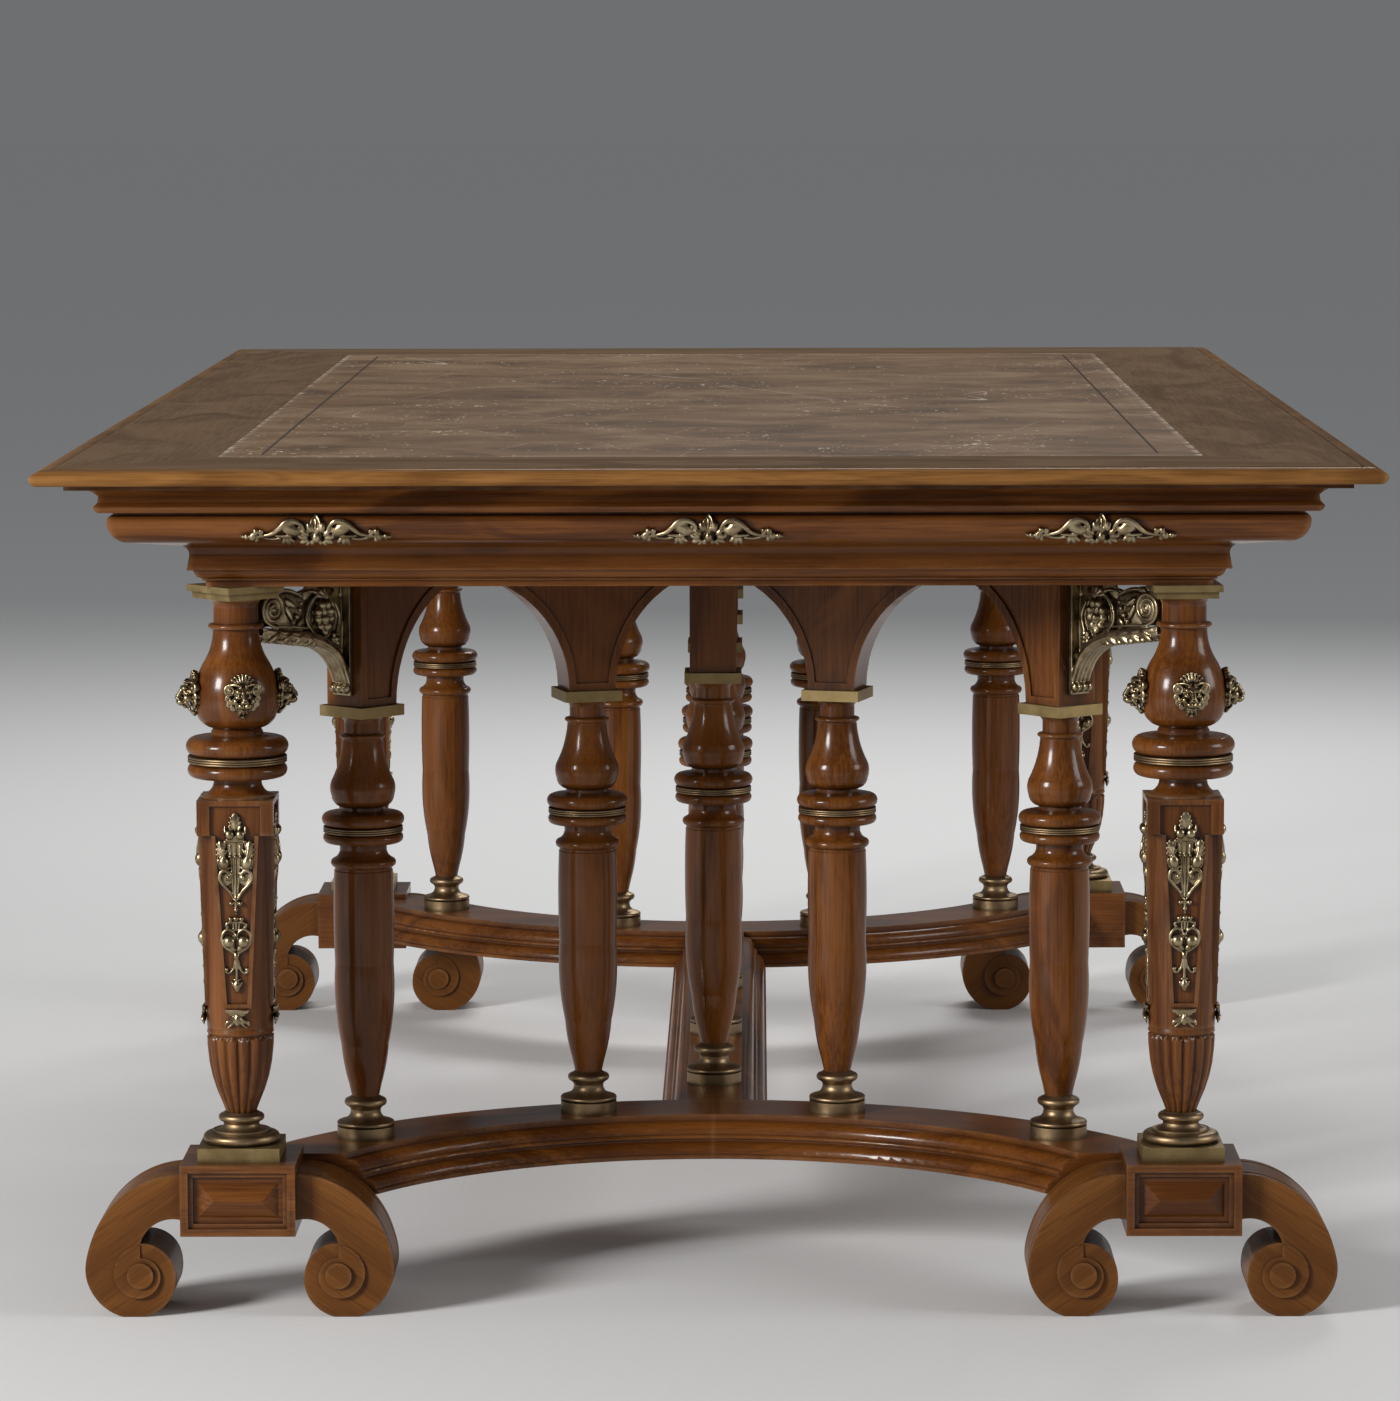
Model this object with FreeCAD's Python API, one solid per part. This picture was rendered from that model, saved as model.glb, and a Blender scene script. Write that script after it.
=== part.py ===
import FreeCAD, Part
import math
import os

from FreeCAD import Matrix, Placement, Rotation, Vector

# Walnut library table in the French Renaissance taste, in millimetres.
# X runs across the short end, Y along the length, Z up from the floor under the table's centre.

# Top, measured over the moulded nose
top_length = 1990.0
top_width = 1170.0
top_thickness = 15.0
overhang = 163.0
nose_run = 21.5
border_width = 127.0
leather_thickness = 1.6
leather_sink = 0.2

# Cornice under the top and cushion frieze under the cornice, out from the leg axes
cornice_height = 29.0
cornice_out = 113.3
frieze_height = 70.0
fascia_out = 24.0
cushion_out = 102.5
rail_back = 36.0
soffit_thickness = 12.0
soffit_rebate = 10.0
bearer_width = 40.0
bearer_spacing = 420.0
bearer_count = 3

# Corner leg, from the floor upwards
foot_clearance = 76.0
block_side = 103.0
block_height = 64.0
plinth_side = 73.4
plinth_height = 12.8
leg_base_radius = 34.5
leg_base_height = 27.8
cup_radius = 29.8
cup_height = 77.8
cup_rib_count = 16
cup_groove_width = 1.8
cup_groove_depth = 2.2
herm_side = 68.0
herm_foot_side = 61.0
herm_neck_radius = 33.0
herm_height = 207.6
ear_height = 31.5
ear_side = 11.5
knuckle_radius = 45.6
knuckle_height = 62.0
leg_ring_proud = 1.4
vase_radius = 37.6
vase_height = 116.0
capital_side = 62.0
capital_height = 12.0
capital_step = 3.4
capital_turns = {"front_left": 42.0, "front_right": 3.0, "back_left": 0.0, "back_right": 0.0}
vase_turns = {"front_left": 13.0, "front_right": 6.0, "back_left": 0.0, "back_right": 0.0}

# Sunk panels of the pedestal and of the foot block
panel_sink = 3.0
panel_fillet = 3.6
panel_top_width = 35.0
panel_foot_width = 18.0
panel_foot_rise = 24.0
block_panel_length = 88.6
block_panel_height = 50.5
block_panel_step = 4.2
block_panel_sink = 3.4
boss_length = 72.0
boss_height = 31.5
boss_ridge = 43.0
boss_rise = 8.0

# Scroll feet, two to a leg
scroll_thickness = 74.0
scroll_cheek = 11.0
quirk_width = 4.0
quirk_depth = 3.0
scroll_top = 129.0
scroll_under = 88.0
volute_out = 88.8
volute_radius = 49.3
volute_rise = 38.2
snail_inset = 1.2
snail_quarter_share = 0.87
snail_low = 0.8
snail_high = 4.2
eye_radius = 11.8
eye_proud = 6.2

# Tie bolt that draws each leg together
bolt_radius = 5.0
bolt_reach = 90.0
bolt_head_radius = 9.0
bolt_head_height = 7.0
washer_radius = 12.0
washer_thickness = 1.5

# Bowed end stretchers and the straight centre stretcher
arc_radius = 422.0
arc_setback = 155.0
stretcher_top = 134.5
stretcher_height = 37.5
end_top_width = 78.0
centre_top_width = 53.0
stretcher_flare = 25.0
arc_sweep = 70.0

# Columns of the three arcades
inner_angle = 16.1
outer_angle = 49.0
centre_column_count = 4
column_base_radius = 26.2
column_base_height = 38.0
column_radius = 36.5
column_height = 352.0
column_ring_proud = 1.2
abacus_side = 54.5
abacus_height = 10.0
spigot_radius = 7.0
lower_spigot = 56.0
upper_spigot = 24.0

# Springers that rise from the columns to the soffit
springer_side = 44.5
crown_thickness = 10.0
springer_border = 7.0
springer_sink = 2.0

# Gilt mounts
bracket_height = 111.0
bracket_thickness = 24.0
bracket_web = 5.0
bracket_scroll_radius = 5.6
bracket_volute_radius = 13.0
mask_width = 32.0
mask_height = 39.0
mask_proud = 17.0
mask_centre_share = 0.28
frieze_mount_length = 134.0
frieze_mount_radius = 12.0
frieze_mount_drop = 14.0
frieze_mount_spacing = 342.0
side_mount_count = 5
herm_mount_thickness = 3.4
herm_mount_margin = 5.0

# Fits
fit_clearance = 0.3
ring_split = 0.6
overrun = 5.0
cut_tolerance = 0.01

# Outlines as shares of the sizes above: out, up, bulge of the arc that ends at the point
nose_shares = [(0.70, 0.0, 0.0), (1.0, 0.53, 0.42), (0.10, 0.90, 0.30), (0.0, 0.90, 0.0), (0.0, 1.0, 0.0)]
cornice_shares = [(0.861, 0.0, 0.0), (0.861, 0.083, 0.0), (0.965, 0.083, 0.0), (1.0, 0.262, 0.25),
                  (0.968, 0.40, 0.0), (0.960, 0.58, 0.0), (1.20, 0.83, -0.30), (1.20, 1.0, 0.0)]
frieze_shares = [(0.0, 0.0, 0.0), (0.0, 0.074, 0.0), (0.035, 0.082, 0.0), (0.035, 0.108, 0.6),
                 (0.060, 0.118, 0.0), (0.122, 0.198, 0.25), (0.135, 0.218, 0.0), (0.188, 0.226, 0.0),
                 (0.192, 0.256, 0.5), (0.170, 0.409, 0.0), (0.272, 0.55, -0.45), (0.749, 0.63, 0.0),
                 (1.0, 0.894, 0.40), (0.94, 1.0, 0.45)]
leg_base_shares = [(0.86, 0.0, 0.0), (0.86, 0.34, 1.0), (0.74, 0.36, 0.0), (0.74, 0.43, 0.0),
                   (0.46, 0.62, -0.45), (0.50, 0.70, 0.0), (0.50, 0.94, 1.0), (0.44, 1.0, 0.0)]
cup_shares = [(0.47, 0.0, 0.0), (0.80, 0.42, 0.10), (1.0, 0.94, 0.12), (0.97, 1.0, 0.3)]
knuckle_shares = [(0.73, 0.0, 0.0), (0.73, 0.03, 0.0), (0.47, 0.22, -0.40), (0.47, 0.26, 0.0),
                  (0.82, 0.285, 0.0), (0.84, 0.50, 1.0)]
knuckle_ring_shares = [(0.84, 0.50, 0.0), (0.84, 0.60, 0.0)]
shoulder_shares = [(0.82, 0.60, 0.0), (0.82, 0.87, 1.0), (0.51, 0.90, -0.1), (0.51, 0.94, 0.0)]
vase_shares = [(0.565, 0.0, 0.0), (0.955, 0.11, 0.30), (1.0, 0.205, 0.08), (0.79, 0.50, 0.14),
               (0.55, 0.735, -0.14), (0.55, 0.76, 0.0), (0.60, 0.765, 0.0), (0.60, 0.804, 1.0),
               (0.53, 0.81, 0.0), (0.53, 0.93, 0.0), (0.70, 1.0, -0.35)]
stretcher_shares = [(1.0, 0.0, 0.0), (1.0, 0.09, 0.0), (0.92, 0.12, 0.0), (0.66, 0.37, 0.36),
                    (0.56, 0.40, 0.0), (0.56, 0.44, 0.0), (0.60, 0.46, 0.0), (0.56, 0.54, 0.40),
                    (0.47, 0.56, 0.0), (0.47, 0.60, 0.0), (0.10, 0.84, 0.42), (0.0, 0.86, 0.0),
                    (0.0, 1.0, 0.0)]
column_base_shares = [(1.0, 0.0, 0.0), (1.0, 0.27, 0.0), (0.93, 0.28, 0.0), (0.93, 0.40, 0.9),
                      (0.80, 0.43, 0.0), (0.53, 0.62, -0.35), (0.53, 0.68, 0.0), (0.62, 0.76, 0.0),
                      (0.62, 0.95, 0.9), (0.50, 1.0, 0.0)]
shaft_shares = [(0.345, 0.0, 0.0), (0.42, 0.035, 0.0), (0.60, 0.138, 0.05), (0.735, 0.35, 0.07),
                (0.737, 0.595, 0.02), (0.72, 0.598, 0.0), (0.72, 0.603, 0.0), (0.76, 0.606, 0.0),
                (0.76, 0.626, 0.6), (0.59, 0.655, -0.35), (0.59, 0.664, 0.0), (0.86, 0.668, 0.0),
                (0.88, 0.696, 1.0)]
column_ring_shares = [(0.88, 0.696, 0.0), (0.88, 0.712, 0.0)]
baluster_shares = [(0.86, 0.712, 0.0), (0.86, 0.748, 1.0), (0.54, 0.752, 0.0), (0.54, 0.762, 0.0),
                   (0.785, 0.79, 0.35), (0.785, 0.83, 0.18), (0.50, 0.935, -0.10), (0.50, 0.94, 0.0),
                   (0.52, 0.942, 0.0), (0.52, 0.952, 1.0), (0.44, 0.955, 0.0), (0.44, 0.982, 0.0),
                   (0.62, 1.0, -0.3)]
arm_under_shares = [(0.09, 0.09), (0.22, 0.37), (0.49, 0.48), (0.75, 0.50), (1.0, 0.565)]
arm_over_shares = [(1.0, 0.63), (0.67, 0.625), (0.42, 0.60), (0.14, 0.48), (0.03, 0.09)]
web_shares = [(0.02, 0.25), (0.95, 0.60), (0.90, 0.80), (0.55, 0.88), (0.30, 0.98), (0.02, 0.98)]
volute_shares = [1.0, 0.79, 0.625, 0.575]
hollow_bulge_share = 0.41
bracket_volute_share = (0.82, 0.76)
bracket_scroll_share = (0.06, 0.08)
drop_shares = [(0.0, 0.0, 0.0), (1.0, 0.62, 0.25), (0.0, 1.0, 0.15)]
upper_drop_share = 0.53
drop_gap_share = 0.02
strip_share = 0.04
panel_head_share = 0.16
drop_width_share = 0.78
neck_share = 0.575
centre_spacing_share = 0.3425

# Places worked out from the sizes
leg_x = top_width / 2 - overhang
leg_y = top_length / 2 - overhang
centre_spacing = leg_y * centre_spacing_share
block_top = foot_clearance + block_height
plinth_top = block_top + plinth_height
cup_foot = plinth_top + leg_base_height
herm_foot = cup_foot + cup_height
herm_top = herm_foot + herm_height
vase_foot = herm_top + knuckle_height
capital_foot = vase_foot + vase_height
soffit = capital_foot + capital_height
cornice_foot = soffit + frieze_height
top_foot = cornice_foot + cornice_height
table_height = top_foot + top_thickness
flat_out = overhang - nose_run
leather_out = flat_out - border_width
bolt_bore = bolt_radius + fit_clearance
spigot_bore = spigot_radius + fit_clearance
column_foot = stretcher_top + column_base_height
abacus_foot = column_foot + column_height
springer_foot = abacus_foot + abacus_height
springer_height = soffit - springer_foot
arc_centre = -(leg_y + arc_setback)
outer_column_x = arc_radius * math.sin(math.radians(outer_angle))
outer_column_y = arc_centre + arc_radius * math.cos(math.radians(outer_angle))
leg_distance = math.hypot(leg_x - outer_column_x, leg_y + outer_column_y)
bracket_reach = leg_distance - springer_side / 2 - vase_radius * neck_share - fit_clearance
up = Vector(0, 0, 1)
full_turn = 360.0
half_turn = 180.0
quarter_turn = 90.0


# Outline tools
def stretch(shares, out, height, foot=0.0, start=0.0):
    return [(start + out * a, foot + height * b, bulge) for a, b, bulge in shares]


def arc_or_line(start, end, bulge):
    if not bulge:
        return Part.LineSegment(start, end).toShape()
    along = end - start
    side = Vector(along.z, 0, -along.x)
    middle = (start + end) / 2 + side * (bulge / 2)
    return Part.Arc(start, middle, end).toShape()


def closed_face(rows):
    points = [Vector(a, 0, b) for a, b, bulge in rows]
    bulges = [bulge for a, b, bulge in rows]
    edges = []
    for index, point in enumerate(points):
        before = points[index - 1]
        if not point.isEqual(before, fit_clearance / overrun / full_turn):
            edges.append(arc_or_line(before, point, bulges[index]))
    return Part.Face(Part.Wire(edges))


def turned(rows, bore=0.0):
    foot = rows[0][1]
    head = rows[-1][1]
    face = closed_face([(bore, foot, 0.0)] + rows + [(bore, head, 0.0)])
    return face.revolve(Vector(), up, full_turn)


def curve_through(points):
    curve = Part.BSplineCurve()
    curve.interpolate(points)
    return curve.toShape()


def block(width, depth, height, foot=0.0):
    return Part.makeBox(width, depth, height, Vector(-width / 2, -depth / 2, foot))


def plate(face, thickness):
    slab = face.extrude(Vector(0, thickness, 0))
    slab.translate(Vector(0, -thickness / 2, 0))
    return slab


def rectangle(width, near, far, height):
    corners = [(-width / 2, near), (width / 2, near), (width / 2, far), (-width / 2, far)]
    points = [Vector(x, y, height) for x, y in corners]
    return Part.makePolygon(points + points[:1])


def set_at(shape, x, y, angle=0.0):
    placed = shape.copy()
    placed.Placement = Placement(Vector(x, y, 0), Rotation(up, angle)).multiply(placed.Placement)
    return placed


def spun(shape, angle):
    return set_at(shape, 0.0, 0.0, angle)


def save(name, *solids):
    shape = solids[0] if len(solids) == 1 else Part.makeCompound(list(solids))
    shape.exportStep(os.path.join("parts", name + ".step"))


def only_solid(shape):
    return max(shape.Solids, key=lambda solid: solid.Volume)


# Mouldings that run round the table and are mitred at its corners
sides = {"right": (leg_x, leg_y, 0.0), "back": (leg_y, leg_x, quarter_turn),
         "left": (leg_x, leg_y, half_turn), "front": (leg_y, leg_x, half_turn + quarter_turn)}


def mitred_rail(rows, side):
    line, other, angle = sides[side]
    outs = [a for a, b, bulge in rows]
    inner = min(outs) - overrun
    outer = max(outs) + overrun
    face = closed_face([(line + a, b, bulge) for a, b, bulge in rows])
    length = 2 * (other + outer + overrun)
    bar = plate(face, length)
    corners = [(inner, -1), (outer, -1), (outer, 1), (inner, 1)]
    wedge = [Vector(line + a, end * (other + a), 0) for a, end in corners]
    mitre = Part.Face(Part.makePolygon(wedge + wedge[:1])).extrude(up * (table_height + overrun))
    return spun(only_solid(bar.common(mitre)), angle)


def top_rail_rows():
    edge = stretch(nose_shares, nose_run, top_thickness, top_foot, flat_out)
    return [(leather_out, table_height, 0.0), (leather_out, top_foot, 0.0)] + edge


def cornice_rows():
    edge = stretch(cornice_shares, cornice_out, cornice_height, cornice_foot)
    return [(-rail_back, top_foot, 0.0), (-rail_back, cornice_foot, 0.0)] + edge


def frieze_rows():
    edge = stretch(frieze_shares, cushion_out - fascia_out, frieze_height, soffit, fascia_out)
    rebate = -rail_back + soffit_rebate
    step = soffit + soffit_thickness
    back = [(-rail_back, cornice_foot, 0.0), (-rail_back, step, 0.0),
            (rebate, step, 0.0), (rebate, soffit, 0.0)]
    return back + edge


# Leather-lined panel inside the top rails, soffit board and hidden cross bearers
def top_field(foot, thickness):
    return block(2 * (leg_x + leather_out), 2 * (leg_y + leather_out), thickness, foot)


def soffit_board():
    inset = rail_back - soffit_rebate
    return block(2 * (leg_x - inset), 2 * (leg_y - inset), soffit_thickness, soffit)


def cross_bearers():
    foot = soffit + soffit_thickness
    bearer = block(2 * (leg_x - rail_back), bearer_width, top_foot - foot, foot)
    first = -bearer_spacing * (bearer_count - 1) / 2
    return [set_at(bearer, 0.0, first + bearer_spacing * step) for step in range(bearer_count)]


# Turned and squared pieces of the corner leg
def bored(solid, reach=None):
    length = herm_height + overrun if reach is None else reach
    foot = solid.BoundBox.ZMin
    drill = Part.makeCylinder(bolt_bore, length + overrun, Vector(0, 0, foot - overrun))
    return only_solid(solid.cut(drill))


def leg_plinth():
    return bored(block(plinth_side, plinth_side, plinth_height, block_top))


def leg_base():
    return turned(stretch(leg_base_shares, leg_base_radius, leg_base_height, plinth_top), bolt_bore)


def leg_cup():
    rows = stretch(cup_shares, cup_radius, cup_height, cup_foot)
    cup = turned(rows, bolt_bore)
    inner = [(a - cup_groove_depth, b, bulge) for a, b, bulge in rows]
    outer = [(cup_radius + overrun, herm_foot, 0.0), (cup_radius + overrun, cup_foot, 0.0)]
    blade = plate(closed_face(inner + outer), cup_groove_width)
    step = full_turn / cup_rib_count
    blades = [spun(blade, step * (index + 1 / 2)) for index in range(cup_rib_count)]
    return only_solid(cup.cut(Part.makeCompound(blades)))


def tapered_slab(width, foot_width, near, foot_near, far, foot_far, foot, head):
    upper = rectangle(width, near, far, head)
    lower = rectangle(foot_width, foot_near, foot_far, foot)
    return Part.makeLoft([lower, upper], True, True)


def leg_herm():
    ear_foot = herm_top - ear_height
    half = herm_side / 2
    foot_half = herm_foot_side / 2
    panel_foot = herm_foot + panel_foot_rise
    slab_foot = panel_foot - panel_fillet
    body = Part.makeCone(cup_radius, herm_neck_radius, ear_foot - herm_foot, Vector(0, 0, herm_foot))
    head = block(herm_side, herm_side, ear_height, ear_foot)
    slab_top = panel_top_width + 2 * panel_fillet
    slab_bottom = panel_foot_width + 2 * panel_fillet
    slab = tapered_slab(slab_top, slab_bottom, -half, -foot_half, half, foot_half, slab_foot, ear_foot)
    pillar = head.fuse([body, slab, spun(slab, quarter_turn)])
    pocket = tapered_slab(panel_top_width, panel_foot_width, -half - overrun, -foot_half - overrun,
                          -half + panel_sink, -foot_half + panel_sink, panel_foot, ear_foot)
    notch_width = herm_side - 2 * ear_side
    notch = block(notch_width, panel_sink, ear_height * (1 - panel_head_share), ear_foot)
    notch.translate(Vector(0, -half + panel_sink / 2, 0))
    turns = [quarter_turn * step for step in range(4)]
    pockets = [spun(cutter, turn) for cutter in (pocket, notch) for turn in turns]
    return bored(only_solid(pillar.cut(Part.makeCompound(pockets)).removeSplitter()))


def ring_rows(shares, radius, height, foot, proud):
    low, high = stretch(shares, radius, height, foot)
    reed = (high[1] - low[1]) / 3
    rows = [(low[0] + fit_clearance, low[1], 0.0)]
    edge = low[0] + proud
    for step in range(3):
        rows.append((edge, low[1] + reed * step, 0.0))
        rows.append((edge, low[1] + reed * (step + 1), 1.0))
    return rows + [(low[0] + fit_clearance, high[1], 0.0)]


def reeded_ring(shares, radius, height, foot, proud):
    rows = ring_rows(shares, radius, height, foot, proud + radius * (1 - shares[0][0]) / 2)
    ring = closed_face(rows).revolve(Vector(), up, full_turn)
    slit = block(ring_split, radius + overrun, height, foot)
    slit.translate(Vector(0, (radius + overrun) / 2, 0))
    return only_solid(ring.cut(slit))


def leg_vase():
    knuckle = knuckle_shares + knuckle_ring_shares + shoulder_shares
    rows = stretch(knuckle, knuckle_radius, knuckle_height, herm_top)
    rows = rows + stretch(vase_shares, vase_radius, vase_height, vase_foot)
    return bored(turned(rows), bolt_reach)


def leg_ring():
    return reeded_ring(knuckle_ring_shares, knuckle_radius, knuckle_height, herm_top, leg_ring_proud)


def leg_capital():
    half = capital_height / 2
    lower_side = capital_side - 2 * capital_step
    lower = block(lower_side, lower_side, half, capital_foot)
    upper = block(capital_side, capital_side, half, capital_foot + half)
    return only_solid(lower.fuse(upper))


def foot_block():
    body = bored(block(block_side, block_side, block_height, foot_clearance))
    face = -block_side / 2
    middle = foot_clearance + block_height / 2

    def recess(inset, depth):
        length = block_panel_length - 2 * inset
        height = block_panel_height - 2 * inset
        cut = block(length, depth, height, middle - height / 2)
        cut.translate(Vector(0, face + depth / 2, 0))
        return cut

    floor = 2 * block_panel_sink
    body = body.cut(recess(0.0, block_panel_sink)).cut(recess(block_panel_step, floor))
    base = [Vector(x * boss_length / 2, face + floor, middle + z * boss_height / 2)
            for x, z in ((-1, -1), (1, -1), (1, 1), (-1, 1))]
    ridge = [Vector(x * boss_ridge / 2, face + floor - boss_rise, middle) for x in (-1, 1)]
    facets = [base[::-1], [base[0], base[1], ridge[1], ridge[0]], [base[1], base[2], ridge[1]],
              [base[2], base[3], ridge[0], ridge[1]], [base[3], base[0], ridge[0]]]
    shell = Part.makeShell([Part.Face(Part.makePolygon(points + points[:1])) for points in facets])
    boss = Part.makeSolid(shell)
    if boss.Volume < 0:
        boss.reverse()
    return only_solid(body.fuse(boss).removeSplitter())


# Scroll foot: a quarter ellipse leaves the block and winds into a volute
def spiral_points(radius, shares, first):
    points = []
    for step in range(4 * (len(shares) - 1) + 1):
        quarter = min(step // 4, len(shares) - 2)
        blend = step / 4 - quarter
        reach = radius * shares[quarter] ** (1 - blend) * shares[quarter + 1] ** blend
        angle = math.radians(-quarter_turn * (first + step / 4))
        points.append(Vector(volute_out + reach * math.cos(angle), 0, volute_rise + reach * math.sin(angle)))
    return points


def outer_curve(offset, quarters):
    inner = block_side / 2
    radius = volute_radius + offset
    run = volute_out + radius - inner
    rise = scroll_top + offset - volute_rise
    steps = [math.radians(quarter_turn * step / 6) for step in range(6)]
    arm = [Vector(inner + run * math.sin(a), 0, volute_rise + rise * math.cos(a)) for a in steps]
    return arm + spiral_points(radius, volute_shares[:quarters + 1], 0)


def closed_outline(runs):
    edges = [curve_through(run) for run in runs]
    for index, run in enumerate(runs):
        following = runs[(index + 1) % len(runs)]
        if not run[-1].isEqual(following[0], fit_clearance):
            edges.append(Part.LineSegment(run[-1], following[0]).toShape())
    return Part.Face(Part.Wire(Part.__sortEdges__(edges)))


def scroll_face():
    edge = outer_curve(0.0, 3)
    under = Vector(block_side / 2, 0, scroll_under)
    hollow = arc_or_line(edge[-1], under, hollow_bulge_share)
    side = Part.LineSegment(under, edge[0]).toShape()
    return Part.Face(Part.Wire([curve_through(edge), hollow, side]))


# The inner turn of the volute stands proud and ramps up from its crown to its foot
def snail():
    half = scroll_thickness / 2
    start = volute_radius * volute_shares[-1] - snail_inset
    turn = spiral_points(start, [snail_quarter_share ** quarter for quarter in range(5)], 3)
    disc = closed_outline([turn]).extrude(Vector(0, -half - snail_high - overrun, 0))
    root = -half + overrun
    low, high = turn[0].z, min(point.z for point in turn)
    ramp = [(root, low), (-half - snail_low, low), (-half - snail_high, high), (root, high)]
    points = [Vector(0, y, z) for y, z in ramp]
    wedge = Part.Face(Part.makePolygon(points + points[:1])).extrude(Vector(2 * volute_out, 0, 0))
    return only_solid(disc.common(wedge))


def scroll_foot():
    half = scroll_thickness / 2
    body = plate(scroll_face(), scroll_thickness)
    quirk = plate(closed_outline([outer_curve(overrun, 2), outer_curve(-quirk_depth, 2)[::-1]]), quirk_width)
    place = half - scroll_cheek
    quirks = [quirk.translated(Vector(0, side * place, 0)) for side in (-1, 1)]
    eye_foot = Vector(volute_out, -half - eye_proud, volute_rise)
    eye = Part.makeCylinder(eye_radius, 2 * (half + eye_proud), eye_foot, Vector(0, 1, 0))
    near = snail()
    far = near.mirror(Vector(), Vector(0, 1, 0))
    length = 2 * (volute_out + volute_radius)
    floor = block(length, scroll_thickness + overrun, volute_rise, -volute_rise)
    whole = body.cut(Part.makeCompound(quirks)).fuse([near, far, eye])
    return only_solid(whole.cut(floor.translated(Vector(volute_out, 0, 0))))


# Hex-headed tie bolt and its washer under the foot block
def tie_bolt():
    head_foot = foot_clearance - washer_thickness - bolt_head_height
    side_count = 6
    angles = [math.radians(full_turn * step / side_count) for step in range(side_count)]
    hexagon = [Vector(bolt_head_radius * math.cos(a), bolt_head_radius * math.sin(a), head_foot)
               for a in angles]
    head = Part.Face(Part.makePolygon(hexagon + hexagon[:1])).extrude(up * bolt_head_height)
    reach = herm_top + bolt_reach - overrun - head_foot
    shank = Part.makeCylinder(bolt_radius, reach, Vector(0, 0, head_foot))
    bolt = only_solid(head.fuse(shank))
    disc = Part.makeCylinder(washer_radius, washer_thickness, Vector(0, 0, foot_clearance - washer_thickness))
    drill = Part.makeCylinder(bolt_bore, block_height, Vector(0, 0, head_foot))
    return [bolt, only_solid(disc.cut(drill))]


# Stretchers: one moulded section, bowed at the ends and straight along the middle
def stretcher_section(top_width, centre=0.0):
    foot = stretcher_top - stretcher_height
    half = top_width / 2
    outer = stretch(stretcher_shares, stretcher_flare, stretcher_height, foot, half)
    right = [(centre + a, b, bulge) for a, b, bulge in outer]
    bulges = [0.0] + [bulge for a, b, bulge in outer][:0:-1]
    left = [(centre - a, b, bulge) for (a, b, _), bulge in zip(outer[::-1], bulges)]
    return closed_face(right + left)


def spigot_holes(places):
    drill = Part.makeCylinder(spigot_bore, lower_spigot + overrun, Vector(0, 0, column_foot - lower_spigot))
    return [set_at(drill, x, y) for x, y, angle in places]


def front_half_stretcher():
    face = stretcher_section(end_top_width, arc_radius)
    bow = face.revolve(Vector(), up, -arc_sweep)
    bow = set_at(bow, 0.0, arc_centre, quarter_turn)
    scroll_back = -(leg_y - scroll_thickness / 2)
    reach = leg_x + block_side
    keep_out = Part.makeBox(2 * reach, reach, reach, Vector(-reach, scroll_back - reach, 0))
    seat = set_at(block(block_side, block_side, block_height, foot_clearance), leg_x, -leg_y)
    holes = spigot_holes(arcade_places)
    return only_solid(bow.cut(Part.makeCompound([keep_out, seat] + holes)))


def centre_stretcher():
    apex = -arc_centre - arc_radius
    bar = plate(stretcher_section(centre_top_width), 2 * apex)
    face = stretcher_section(end_top_width + 2 * fit_clearance, arc_radius)
    cope = face.revolve(Vector(), up, arc_sweep)
    cope = set_at(cope, 0.0, arc_centre, quarter_turn - arc_sweep / 2)
    holes = spigot_holes(centre_places)
    return only_solid(bar.cut([cope, spun(cope, half_turn)] + holes, cut_tolerance))


# Columns with their bases, rings and abaci
def column_base():
    rows = stretch(column_base_shares, column_base_radius, column_base_height, stretcher_top)
    return turned(rows, spigot_bore)


def column():
    shares = shaft_shares + column_ring_shares + baluster_shares
    rows = stretch(shares, column_radius, column_height, column_foot)
    lower = (spigot_radius, column_foot - lower_spigot + fit_clearance, 0.0)
    upper = (spigot_radius, abacus_foot + upper_spigot - fit_clearance, 0.0)
    tenon = [lower, (spigot_radius, column_foot, 0.0)]
    dowel = [(spigot_radius, abacus_foot, 0.0), upper]
    return turned(tenon + rows + dowel)


def column_ring():
    return reeded_ring(column_ring_shares, column_radius, column_height, column_foot, column_ring_proud)


def drilled_head(solid):
    drill = Part.makeCylinder(spigot_bore, upper_spigot + overrun, Vector(0, 0, abacus_foot - overrun))
    return only_solid(solid.cut(drill))


def abacus():
    return drilled_head(block(abacus_side, abacus_side, abacus_height, abacus_foot))


# Springer: each flank is an arch to its crown, or upright where reach is zero
def flank(reach, inset, foot, head):
    half = springer_side / 2 - inset
    if not reach:
        return [Vector(half, 0, foot), Vector(half, 0, head)]
    run = reach - half
    rise = springer_height - crown_thickness + inset
    low = math.asin(foot / rise)
    high = math.asin(min(head / rise, 1))
    steps = [low + (high - low) * step / 6 for step in range(7)]
    return [Vector(reach - run * math.cos(a), 0, rise * math.sin(a)) for a in steps]


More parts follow.
